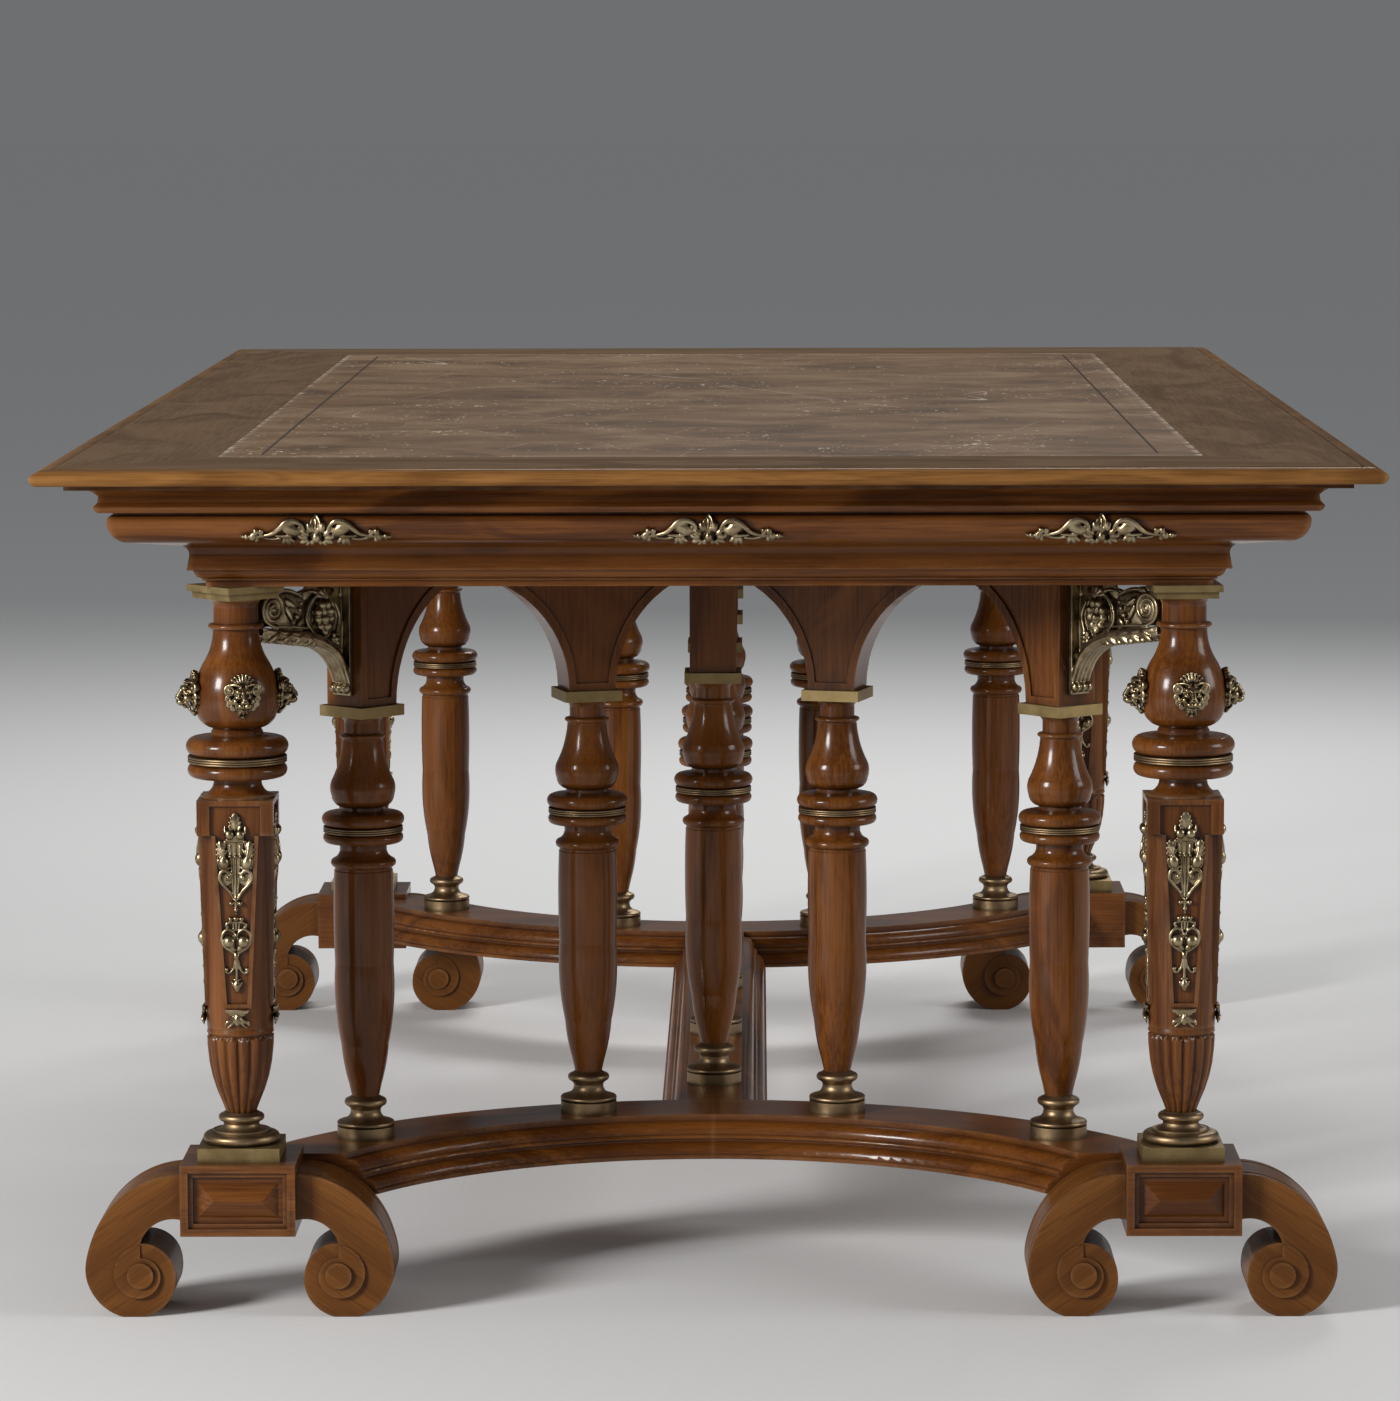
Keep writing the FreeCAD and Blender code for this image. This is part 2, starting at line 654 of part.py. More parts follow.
def springer_outline(left_reach, right_reach, inset):
    foot = inset
    head = springer_height - inset
    right = flank(right_reach, inset, foot, head if inset else springer_height)
    left = [Vector(-v.x, 0, v.z) for v in flank(left_reach, inset, foot, head if inset else springer_height)]
    left = left[::-1]
    edges = []
    for run in (right, left):
        edges.append(curve_through(run) if len(run) > 2 else Part.LineSegment(run[0], run[1]).toShape())
    corners = [(left[-1], right[0])]
    tips = [right[-1], left[0]]
    if not inset:
        top_right = Vector(right[-1].x, 0, springer_height)
        top_left = Vector(left[0].x, 0, springer_height)
        tips = [right[-1], top_right, top_left, left[0]]
    corners += list(zip(tips, tips[1:]))
    edges += [Part.LineSegment(a, b).toShape() for a, b in corners if not a.isEqual(b, ring_split)]
    face = Part.Face(Part.Wire(Part.__sortEdges__(edges)))
    face.translate(Vector(0, 0, springer_foot))
    return face


def springer(left_reach, right_reach, left_mitre=0.0, right_mitre=0.0):
    half = springer_side / 2
    left_spread = half * math.tan(math.radians(left_mitre))
    right_spread = half * math.tan(math.radians(right_mitre))
    whole = springer_outline(left_reach and left_reach + left_spread,
                             right_reach and right_reach + right_spread, 0.0)
    body = plate(whole, springer_side)
    panel = springer_outline(left_reach, right_reach, springer_border)
    near = panel.extrude(Vector(0, -overrun, 0)).translated(Vector(0, -half + springer_sink, 0))
    far = panel.extrude(Vector(0, overrun, 0)).translated(Vector(0, half - springer_sink, 0))
    body = body.cut(Part.makeCompound([near, far]))
    ends = ((-left_reach, half_turn + left_mitre), (right_reach, -right_mitre))
    for reach, turn in ends:
        if reach:
            size = 2 * (springer_height + abs(reach))
            stop = Part.makeBox(size, size, size, Vector(0, -size / 2, springer_foot - size / 2))
            body = body.cut(set_at(stop, reach, 0.0, turn))
    return drilled_head(only_solid(body))


# Gilt scroll bracket in the plane of the outer springer
def bracket():
    start = springer_side / 2

    def at(pair):
        return Vector(start + bracket_reach * pair[0], 0, soffit - bracket_height * (1 - pair[1]))

    def disc(pair, radius):
        foot = at(pair) - Vector(0, bracket_thickness / 2, 0)
        return Part.makeCylinder(radius, bracket_thickness, foot, Vector(0, 1, 0))

    under = [at(pair) for pair in arm_under_shares]
    over = [at(pair) for pair in arm_over_shares]
    ends = [Part.LineSegment(under[-1], over[0]).toShape(), Part.LineSegment(over[-1], under[0]).toShape()]
    arm_edges = [curve_through(under), ends[0], curve_through(over), ends[1]]
    arm = plate(Part.Face(Part.Wire(arm_edges)), bracket_thickness)
    web_points = [at(pair) for pair in web_shares]
    web = plate(Part.Face(Part.makePolygon(web_points + web_points[:1])), bracket_web)
    strip_width = bracket_reach * strip_share
    strip = block(strip_width, bracket_thickness, bracket_height, soffit - bracket_height)
    strip.translate(Vector(start + strip_width / 2, 0, 0))
    scrolls = [disc(bracket_volute_share, bracket_volute_radius),
               disc(bracket_scroll_share, bracket_scroll_radius)]
    whole = strip.fuse([arm, web] + scrolls)
    wall = block(springer_side, abacus_side, springer_height, springer_foot)
    return only_solid(whole.cut(wall).removeSplitter())


# Low mounts seated on the vase, the frieze and the pedestal panels
def egg(width, depth, height, centre):
    ball = Part.makeSphere(mask_width / 2)
    grow = Matrix()
    grow.scale(width / mask_width, depth / mask_width, height / mask_width)
    shape = ball.transformGeometry(grow)
    shape.translate(centre)
    return shape


def lion_mask(vase):
    height = vase_foot + vase_height * mask_centre_share
    head = egg(mask_width, 2 * mask_proud, mask_height, Vector(0, -vase_radius, height))
    mask = only_solid(head.cut(vase))
    return mask.translated(Vector(0, -fit_clearance / 2, 0))


def frieze_mount(rail, line):
    half = frieze_mount_length / 2
    height = cornice_foot - frieze_mount_drop
    out = line + cushion_out - frieze_mount_radius / 4
    rows = [(0.0, -half, 0.0), (frieze_mount_radius, 0.0, 0.12), (0.0, half, 0.12)]
    spindle = closed_face(rows).revolve(Vector(), up, full_turn)
    spindle.rotate(Vector(), Vector(0, 1, 0), quarter_turn)
    spindle.translate(Vector(0, -out, height))
    return only_solid(spindle.cut(rail))


def herm_mounts():
    floor_top = herm_side / 2 - panel_sink
    floor_foot = herm_foot_side / 2 - panel_sink
    slope_height = herm_height - ear_height - panel_foot_rise
    lean = math.degrees(math.atan2(floor_top - floor_foot, slope_height))
    room = herm_height - panel_foot_rise - ear_height * panel_head_share - 2 * herm_mount_margin
    pieces = []
    foot = herm_foot + panel_foot_rise + herm_mount_margin
    lengths = [room * (1 - upper_drop_share - drop_gap_share), room * upper_drop_share]
    widths = [panel_foot_width * drop_width_share, panel_top_width * drop_width_share]
    for length, width in zip(lengths, widths):
        right = stretch(drop_shares, width / 2, length)
        left = [(-a, b, bulge) for a, b, bulge in right[1:-1]]
        bulges = [right[2][2], right[1][2]]
        rows = right + [(left[0][0], left[0][1], bulges[0])]
        rows[0] = (0.0, 0.0, bulges[1])
        drop = closed_face(rows).extrude(Vector(0, -herm_mount_thickness, 0))
        drop.rotate(Vector(), Vector(1, 0, 0), lean)
        rise = foot - (herm_foot + panel_foot_rise)
        drop.translate(Vector(0, -floor_foot - math.tan(math.radians(lean)) * rise - fit_clearance, foot))
        pieces.append(drop)
        foot += length + room * drop_gap_share
    return pieces


# Places of the columns: x, y and the turn that lines each one up with its arcade
arcade_angles = [-outer_angle, -inner_angle, inner_angle, outer_angle]
arcade_turns = [math.radians(a) for a in arcade_angles]
arcade_places = [(arc_radius * math.sin(a), arc_centre + arc_radius * math.cos(a), -math.degrees(a))
                 for a in arcade_turns]
centre_places = [(0.0, centre_spacing * (step - (centre_column_count - 1) / 2), quarter_turn)
                 for step in range(centre_column_count)]
back_places = [(-x, -y, angle + half_turn) for x, y, angle in arcade_places]
corners = {"front_left": (-1, -1), "front_right": (1, -1), "back_left": (-1, 1), "back_right": (1, 1)}


def at_columns(solid):
    return [set_at(solid, x, y, angle) for x, y, angle in arcade_places + back_places + centre_places]


def at_legs(solid, turns=None):
    placed = []
    for name, (x, y) in corners.items():
        turn = turns[name] if turns else 0.0
        placed.append(set_at(solid, x * leg_x, y * leg_y, turn))
    return placed


def all_springers():
    inner = arc_radius * math.tan(math.radians(inner_angle))
    bend = (outer_angle - inner_angle) / 2
    outer = arc_radius * math.tan(math.radians(bend))
    half = centre_spacing / 2
    kinds = [springer(0.0, outer, 0.0, bend), springer(outer, inner, bend, inner_angle),
             springer(inner, outer, inner_angle, bend), springer(outer, 0.0, bend, 0.0)]
    centre_kinds = [springer(0.0, half), springer(half, half), springer(half, half), springer(half, 0.0)]
    rows = [(kinds, arcade_places), (kinds, back_places), (centre_kinds, centre_places)]
    return [set_at(kind, x, y, angle) for row, places in rows for kind, (x, y, angle) in zip(row, places)]


def all_brackets():
    right = bracket()
    x, y, angle = arcade_places[-1]
    front_right = set_at(right, x, y, angle)
    left = set_at(right, 0.0, 0.0, half_turn)
    x, y, angle = arcade_places[0]
    front_left = set_at(left, x, y, angle)
    pair = [front_left, front_right]
    return pair + [spun(piece, half_turn) for piece in pair]


os.makedirs("parts", exist_ok=True)

rails = {side: mitred_rail(frieze_rows(), side) for side in sides}
for side in sides:
    save("top_rail_" + side, mitred_rail(top_rail_rows(), side))
    save("frieze_rail_" + side, rails[side])
save("cornice_mouldings", *[mitred_rail(cornice_rows(), side) for side in sides])
field_thickness = top_thickness - leather_thickness - leather_sink
save("top_panel", top_field(top_foot, field_thickness))
save("leather_inset", top_field(top_foot + field_thickness, leather_thickness))
save("soffit_panel", soffit_board())
save("cross_bearers", *cross_bearers())

vase = leg_vase()
herm = leg_herm()
foot_piece = foot_block()
outer_scroll = scroll_foot()
scroll_pair = [outer_scroll, spun(outer_scroll, half_turn)]
for name, (x, y) in corners.items():
    save("leg_vase_" + name, set_at(vase, x * leg_x, y * leg_y))
    save("leg_herm_" + name, set_at(herm, x * leg_x, y * leg_y))
    facing = 0.0 if y < 0 else half_turn
    save("foot_block_" + name, set_at(foot_piece, x * leg_x, y * leg_y, facing))
    save("foot_scrolls_" + name, *[set_at(scroll, x * leg_x, y * leg_y) for scroll in scroll_pair])
save("leg_capitals", *at_legs(leg_capital(), capital_turns))
save("leg_rings", *at_legs(leg_ring()))
save("leg_cups", *at_legs(leg_cup()))
save("leg_bases", *at_legs(leg_base()))
save("leg_plinths", *at_legs(leg_plinth()))
save("tie_bolts", *[piece for part in tie_bolt() for piece in at_legs(part)])

front_right = front_half_stretcher()
front_left = front_right.mirror(Vector(), Vector(1, 0, 0))
ends = {"front_right": front_right, "front_left": front_left,
        "back_left": spun(front_right, half_turn), "back_right": spun(front_left, half_turn)}
for name, piece in ends.items():
    save("stretcher_" + name, piece)
save("stretcher_centre", centre_stretcher())

shaft = column()
for row, places in (("front", arcade_places), ("back", back_places), ("centre", centre_places)):
    for number, (x, y, angle) in enumerate(places, 1):
        save("column_%s_%d" % (row, number), set_at(shaft, x, y, angle))
save("column_bases", *at_columns(column_base()))
save("column_rings", *at_columns(column_ring()))
save("column_abaci", *at_columns(abacus()))
save("springers", *all_springers())

save("scroll_brackets", *all_brackets())
mask = lion_mask(vase)
masks = [spun(mask, quarter_turn * step) for step in range(4)]
save("lion_masks", *[piece for one in masks for piece in at_legs(one, vase_turns)])
mounts = []
for side, (line, other, angle) in sides.items():
    count = 3 if side in ("front", "back") else side_mount_count
    seat = spun(rails[side], half_turn + quarter_turn - angle)
    mount = frieze_mount(seat, line)
    for step in range(count):
        shifted = mount.translated(Vector(frieze_mount_spacing * (step - (count - 1) / 2), 0, 0))
        mounts.append(spun(shifted, angle - half_turn - quarter_turn))
save("frieze_mounts", *mounts)
drops = [spun(drop, quarter_turn * step) for drop in herm_mounts() for step in range(4)]
save("herm_mounts", *[piece for drop in drops for piece in at_legs(drop)])
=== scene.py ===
import math

import bpy
from mathutils import Matrix, Vector


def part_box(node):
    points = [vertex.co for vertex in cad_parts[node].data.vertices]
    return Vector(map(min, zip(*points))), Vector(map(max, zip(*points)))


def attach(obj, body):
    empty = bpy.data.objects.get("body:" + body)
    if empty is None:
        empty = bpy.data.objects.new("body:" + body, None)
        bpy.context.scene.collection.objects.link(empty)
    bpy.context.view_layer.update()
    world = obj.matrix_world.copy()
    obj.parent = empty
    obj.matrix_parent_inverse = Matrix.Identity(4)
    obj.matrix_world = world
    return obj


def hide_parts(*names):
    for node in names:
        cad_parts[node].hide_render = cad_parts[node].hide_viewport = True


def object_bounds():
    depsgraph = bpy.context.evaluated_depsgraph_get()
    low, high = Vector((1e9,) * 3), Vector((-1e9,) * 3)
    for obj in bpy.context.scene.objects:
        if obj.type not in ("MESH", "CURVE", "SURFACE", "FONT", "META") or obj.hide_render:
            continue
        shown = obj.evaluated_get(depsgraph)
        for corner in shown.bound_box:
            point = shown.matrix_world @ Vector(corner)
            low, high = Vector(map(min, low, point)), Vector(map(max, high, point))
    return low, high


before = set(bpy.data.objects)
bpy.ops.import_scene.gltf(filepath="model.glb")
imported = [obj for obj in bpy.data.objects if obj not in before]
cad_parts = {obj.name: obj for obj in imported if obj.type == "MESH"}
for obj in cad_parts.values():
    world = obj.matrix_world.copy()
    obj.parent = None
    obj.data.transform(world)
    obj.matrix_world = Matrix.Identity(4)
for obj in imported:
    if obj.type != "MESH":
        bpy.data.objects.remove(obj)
cad_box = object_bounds()
mm = 0.001

# Camera of the photograph, in metres and radians
photo_size = (1400, 1401)
photo_focal_pixels = 5849.0
sensor_width = 36.0
camera_place = Vector((0.0415, -6.012, 1.138))
camera_yaw = -0.0097
camera_pitch = -0.1128
camera_roll = -0.0027

# Finishes, as linear colours
walnut_light = (0.222, 0.078, 0.0150, 1)
walnut_mid = (0.116, 0.0350, 0.0055, 1)
walnut_dark = (0.026, 0.0068, 0.0018, 1)
walnut_rubbed = (0.430, 0.270, 0.135, 1)
foot_light = (0.192, 0.0735, 0.0160, 1)
foot_mid = (0.130, 0.0465, 0.0088, 1)
foot_dark = (0.056, 0.0175, 0.0042, 1)
# Border top: walnut greyed and lifted by a painted pale reflection of the top face
border_sheen_light = (0.224, 0.138, 0.080, 1)
border_sheen_mid = (0.162, 0.100, 0.057, 1)
border_sheen_dark = (0.092, 0.054, 0.029, 1)
edge_light = (0.340, 0.158, 0.048, 1)
edge_mid = (0.215, 0.093, 0.025, 1)
edge_dark = (0.070, 0.026, 0.007, 1)
plate_light = (0.340, 0.250, 0.118, 1)
plate_mid = (0.220, 0.155, 0.066, 1)
bronze_light = (0.330, 0.232, 0.130, 1)
bronze_mid = (0.195, 0.130, 0.070, 1)
mount_light = (0.480, 0.390, 0.245, 1)
mount_mid = (0.190, 0.134, 0.070, 1)
brass_dark = (0.022, 0.014, 0.007, 1)
leather_mid = (0.192, 0.116, 0.065, 1)
leather_pale = (0.270, 0.180, 0.108, 1)
leather_worn = (0.112, 0.070, 0.042, 1)
leather_dark = (0.062, 0.044, 0.036, 1)
leather_red = (0.260, 0.130, 0.068, 1)
leather_bare = (0.640, 0.550, 0.430, 1)
iron_dark = (0.020, 0.018, 0.017, 1)
iron_rust = (0.070, 0.036, 0.020, 1)
floor_pale = (0.780, 0.775, 0.765, 1)


# Node tools
def add(tree, kind, values=None, **settings):
    made = tree.nodes.new("ShaderNode" + kind)
    for key, value in settings.items():
        setattr(made, key, value)
    for socket, value in (values or {}).items():
        if isinstance(value, bpy.types.NodeSocket):
            tree.links.new(value, made.inputs[socket])
        else:
            made.inputs[socket].default_value = value
    return made


def ramp(tree, factor, stops):
    made = add(tree, "ValToRGB", {"Fac": factor})
    elements = made.color_ramp.elements
    while len(elements) < len(stops):
        elements.new(0.5)
    for element, (place, colour) in zip(elements, stops):
        element.position = place
        element.color = colour if len(colour) == 4 else (*colour, 1)
    return made.outputs["Color"]


def mixed(tree, factor, first, second):
    return add(tree, "Mix", {0: factor, 6: first, 7: second}, data_type="RGBA").outputs[2]


def maths(tree, operation, *values, clamp=False):
    numbered = dict(enumerate(values))
    return add(tree, "Math", numbered, operation=operation, use_clamp=clamp).outputs[0]


def stretched_noise(tree, place, scale, size, detail=4.0, roughness=0.55, distortion=0.0):
    spread = add(tree, "VectorMath", {0: place, 1: scale}, operation="MULTIPLY").outputs[0]
    values = {"Vector": spread, "Scale": size, "Detail": detail, "Roughness": roughness,
              "Distortion": distortion}
    return add(tree, "TexNoise", values).outputs["Fac"]


def new_group(name, inputs, outputs):
    tree = bpy.data.node_groups.new(name, "ShaderNodeTree")
    for label, kind, default in inputs:
        socket = tree.interface.new_socket(label, in_out="INPUT", socket_type="NodeSocket" + kind)
        socket.default_value = default
    for label, kind in outputs:
        tree.interface.new_socket(label, in_out="OUTPUT", socket_type="NodeSocket" + kind)
    source = tree.nodes.new("NodeGroupInput").outputs
    sink = tree.nodes.new("NodeGroupOutput").inputs
    return tree, source, sink


# Walnut: growth rings, fibres along local Z, dark pores and slow changes of tone
ring_size = 16.0
bend_size = 5.0
fibre_size = 420.0
pore_size = 900.0
tone_size = 2.6
peel_size = 620.0
ring_share = 0.62
grain_contrast = 3.6
dark_start = -1.12
light_start = -1.62
pore_tint = 0.45


def walnut_group():
    inputs = [("Place", "Vector", (0, 0, 0)), ("Light", "Color", walnut_light),
              ("Mid", "Color", walnut_mid), ("Dark", "Color", walnut_dark)]
    outputs = [("Color", "Color"), ("Rough", "Float"), ("Height", "Float")]
    tree, source, sink = new_group("walnut_figure", inputs, outputs)
    place = source["Place"]
    bend = stretched_noise(tree, place, (1, 1, 0.35), bend_size, 2.0)
    ring_place = add(tree, "VectorMath", {0: place, 1: (1, 1, 0.05)}, operation="MULTIPLY").outputs[0]
    drift = maths(tree, "MULTIPLY", bend, 0.4)
    shift = add(tree, "VectorMath", {0: ring_place, 1: drift}, operation="ADD").outputs[0]
    ring_values = {"Vector": shift, "Scale": ring_size, "Detail": 3.0, "Distortion": 0.6}
    rings = add(tree, "TexNoise", ring_values).outputs["Fac"]
    fibres = stretched_noise(tree, place, (1, 1, 0.035), fibre_size, 5.0, 0.6)
    pores = stretched_noise(tree, place, (1, 1, 0.028), pore_size, 2.0, 0.5)
    tone = stretched_noise(tree, place, (1, 1, 0.4), tone_size, 2.0)
    ring_part = maths(tree, "MULTIPLY", rings, ring_share)
    fibre_part = maths(tree, "MULTIPLY", fibres, 1 - ring_share)
    blend = maths(tree, "ADD", ring_part, fibre_part)
    above_dark = maths(tree, "MULTIPLY_ADD", blend, grain_contrast, dark_start, clamp=True)
    above_mid = maths(tree, "MULTIPLY_ADD", blend, grain_contrast, light_start, clamp=True)
    lower = mixed(tree, above_dark, source["Dark"], source["Mid"])
    full = mixed(tree, above_mid, lower, source["Light"])
    even = maths(tree, "MULTIPLY_ADD", tone, 1.5, -0.05, clamp=True)
    toned = mixed(tree, even, source["Mid"], full)
    pore_mask = maths(tree, "MULTIPLY_ADD", pores, -7.0, 2.65, clamp=True)
    colour = mixed(tree, maths(tree, "MULTIPLY", pore_mask, pore_tint), toned, source["Dark"])
    tree.links.new(colour, sink["Color"])
    rough = maths(tree, "ADD", maths(tree, "MULTIPLY", fibres, 0.16), maths(tree, "MULTIPLY", tone, 0.12))
    tree.links.new(rough, sink["Rough"])
    peel = stretched_noise(tree, place, (1, 1, 0.6), peel_size, 2.0)
    raised = maths(tree, "ADD", maths(tree, "MULTIPLY", fibres, 0.4), maths(tree, "MULTIPLY", peel, 1.1))
    height = maths(tree, "SUBTRACT", raised, pore_mask)
    tree.links.new(height, sink["Height"])
    return tree


# Age: grime and painted shade that darken the hollows, and polish rubbed off the arrises
def age_group():
    inputs = [("Color", "Color", walnut_mid), ("GrimeAndShade", "Color", walnut_dark),
              ("Rubbed", "Color", walnut_light), ("Hollow", "Float", 1.0), ("Arris", "Float", 0.0),
              ("Place", "Vector", (0, 0, 0))]
    tree, source, sink = new_group("age", inputs, [("Color", "Color"), ("Worn", "Float")])
    patch = stretched_noise(tree, source["Place"], (1, 1, 1), 38.0, 4.0)
    # Painted shade: the hollows darken with ambient occlusion towards the grime colour, partly real grime
    grime_and_shade = maths(tree, "MULTIPLY", maths(tree, "SUBTRACT", 1.0, source["Hollow"]), 1.25, clamp=True)
    dirtied_and_shaded = mixed(tree, maths(tree, "MULTIPLY", grime_and_shade, 0.85), source["Color"], source["GrimeAndShade"])
    bare = maths(tree, "MULTIPLY_ADD", patch, 2.6, -0.85, clamp=True)
    rubbed = maths(tree, "MULTIPLY", source["Arris"], bare)
    worn = mixed(tree, maths(tree, "MULTIPLY", rubbed, 0.6), dirtied_and_shaded, source["Rubbed"])
    tree.links.new(worn, sink["Color"])
    tree.links.new(rubbed, sink["Worn"])
    return tree


walnut_figure = walnut_group()
age = age_group()


def use(tree, group, values):
    return add(tree, "Group", values, node_tree=group).outputs


def new_material(name):
    made = bpy.data.materials.new(name)
    made.use_nodes = True
    tree = made.node_tree
    tree.nodes.clear()
    shader = add(tree, "BsdfPrincipled")
    output = add(tree, "OutputMaterial")
    tree.links.new(shader.outputs[0], output.inputs["Surface"])
    return made, tree, shader


arris_share = 0.35


def hollow_and_arris(tree, reach):
    hollow = add(tree, "AmbientOcclusion", {"Distance": reach}, samples=3).outputs["AO"]
    near = {"Distance": reach * arris_share}
    inside = add(tree, "AmbientOcclusion", near, samples=2, inside=True).outputs["AO"]
    return hollow, maths(tree, "MULTIPLY_ADD", inside, -1.6, 1.0, clamp=True)


# Sizes of the wood's wear, of its painted shade in hollows and of the painted reflection on the border
# top, in metres
grime_and_shade_reach = 0.012
arris_round = 0.0009
grain_relief = 0.0006
grain_strength = 0.16
varnish_rough = 0.15
figure_rough = 0.14
sheen_fade_depth = 0.0030
scroll_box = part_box("foot_scrolls_front_right")
scroll_middle = (scroll_box[0] + scroll_box[1]) / 2
scroll_slant = math.radians(55)
grain_turns = {"x": (0, math.radians(90), 0), "y": (math.radians(90), 0, 0), "z": (0, 0, 0)}


# Fibres that run down both scrolls of a foot
def scroll_grain(tree, axes):
    side = maths(tree, "SUBTRACT", maths(tree, "ABSOLUTE", axes["X"]), scroll_middle.x)
    out = maths(tree, "ABSOLUTE", side)
    spread = add(tree, "CombineXYZ", {"X": out, "Y": axes["Y"], "Z": axes["Z"]}).outputs[0]
    return add(tree, "Mapping", {"Vector": spread, "Rotation": (0, scroll_slant, 0)}).outputs[0]


walnut_colours = (walnut_light, walnut_mid, walnut_dark)


def walnut(name, grain, colours=walnut_colours, rough=0.32, coat=0.34, gloss=0.08, edge=None):
    made, tree, shader = new_material(name)
    here = add(tree, "TexCoord").outputs["Object"]
    axes = add(tree, "SeparateXYZ", {0: here}).outputs
    if grain == "scroll":
        place = scroll_grain(tree, axes)
    else:
        place = add(tree, "Mapping", {"Vector": here, "Rotation": grain_turns[grain]}).outputs[0]
    light, mid, dark = colours
    figured = use(tree, walnut_figure, {"Place": place, "Light": light, "Mid": mid, "Dark": dark})
    colour = figured["Color"]
    if edge:
        edge_values = {"Place": place, "Light": edge[0], "Mid": edge[1], "Dark": edge[2]}
        polished = use(tree, walnut_figure, edge_values)
        # The top face keeps the given colours, on the border rails a painted pale reflection, and below
        # it fades to the edge colours
        below = maths(tree, "SUBTRACT", cad_box[1].z, axes["Z"])
        sheen_on_top = maths(tree, "MULTIPLY_ADD", below, -1 / sheen_fade_depth, 1.0, clamp=True)
        colour = mixed(tree, sheen_on_top, polished["Color"], colour)
    # Painted shade: the wood darkens in its hollows towards the dark grain colour, partly as grime
    hollow, arris = hollow_and_arris(tree, grime_and_shade_reach)
    aged = use(tree, age, {"Color": colour, "GrimeAndShade": dark, "Rubbed": walnut_rubbed, "Hollow": hollow,
                           "Arris": arris, "Place": here})
    roughness = maths(tree, "ADD", figured["Rough"], rough - figure_rough)
    tree.links.new(aged["Color"], shader.inputs["Base Color"])
    tree.links.new(roughness, shader.inputs["Roughness"])
    soft = add(tree, "Bevel", {"Radius": arris_round}, samples=2).outputs[0]
    relief = {"Height": figured["Height"], "Strength": grain_strength, "Distance": grain_relief,
              "Normal": soft}
    bump = add(tree, "Bump", relief)
    tree.links.new(bump.outputs[0], shader.inputs["Normal"])
    shader.inputs["Coat Weight"].default_value = coat
    shader.inputs["Coat Roughness"].default_value = varnish_rough
    shader.inputs["Specular IOR Level"].default_value = gloss
    return made


# Brass: cloudy patina, fine casting grain, hollows darkened by patina and painted shade, and rubbed high
# spots
patina_size = 55.0
speck_size = 700.0
cast_relief = 0.0004


def brass(name, colours, rough=0.34, reach=0.004, depth=1.0):
    made, tree, shader = new_material(name)
    here = add(tree, "TexCoord").outputs["Object"]
    light, mid = colours
    patina = stretched_noise(tree, here, (1, 1, 1), patina_size, 5.0, 0.6)
    speck = stretched_noise(tree, here, (1, 1, 1), speck_size, 3.0)
    base = mixed(tree, maths(tree, "MULTIPLY_ADD", patina, 2.4, -0.75, clamp=True), mid, light)
    hollow, arris = hollow_and_arris(tree, reach)
    # Painted shade with patina: the hollows darken towards dark brass, more so when depth is over 1
    deep = maths(tree, "MULTIPLY_ADD", hollow, depth, 1.0 - depth, clamp=True)
    aged = use(tree, age, {"Color": base, "GrimeAndShade": brass_dark, "Rubbed": light, "Hollow": deep,
                           "Arris": arris, "Place": here})
    tree.links.new(aged["Color"], shader.inputs["Base Color"])
    shade = maths(tree, "MULTIPLY", maths(tree, "SUBTRACT", 1.0, deep), 0.35)
    roughness = maths(tree, "ADD", maths(tree, "MULTIPLY_ADD", patina, 0.26, rough - 0.1), shade)
    tree.links.new(roughness, shader.inputs["Roughness"])
    bump = add(tree, "Bump", {"Height": speck, "Strength": 0.10, "Distance": cast_relief})
    tree.links.new(bump.outputs[0], shader.inputs["Normal"])
    shader.inputs["Metallic"].default_value = 1.0
    return made


# Iron: dark bolts with spots of rust
rust_size = 120.0
rust_relief = 0.0005


def iron(name):
    made, tree, shader = new_material(name)
    here = add(tree, "TexCoord").outputs["Object"]
    rust = stretched_noise(tree, here, (1, 1, 1), rust_size, 6.0, 0.65)
    tree.links.new(ramp(tree, rust, [(0.42, iron_dark), (0.62, iron_rust)]), shader.inputs["Base Color"])
    tree.links.new(maths(tree, "MULTIPLY_ADD", rust, 0.4, 0.4), shader.inputs["Roughness"])
    bump = add(tree, "Bump", {"Height": rust, "Strength": 0.3, "Distance": rust_relief})
    tree.links.new(bump.outputs[0], shader.inputs["Normal"])
    shader.inputs["Metallic"].default_value = 0.7
    return made


# Leather: worn brown hide with stains, scuffs and flecks, a tooled line and a hatched edge
wear_size = 10.0
red_size = 3.1
ink_size = 4.3
rub_size = 70.0
fleck_size = 180.0
patch_size = 7.0
pebble_size = 650.0
scratch_size = 13.0
hide_relief = 0.0006
hatch_pitch = 0.023
hatch_width = 0.0026
hatch_length = 0.016
tooled_margin = 0.036
tool_width = 0.0010
tool_depth = 0.0006
tool_line = tooled_margin + 1.25 * tool_width
tool_line_half = 0.0014
scuffed_edge = 0.007
scratch_turns = ((-78, 0.50), (-12, 0.47), (64, 0.56))
scratch_half = 0.0020
scratch_tint = 0.6
hatch_tint = 0.22
fray_tint = 0.9
tool_tint = 0.85


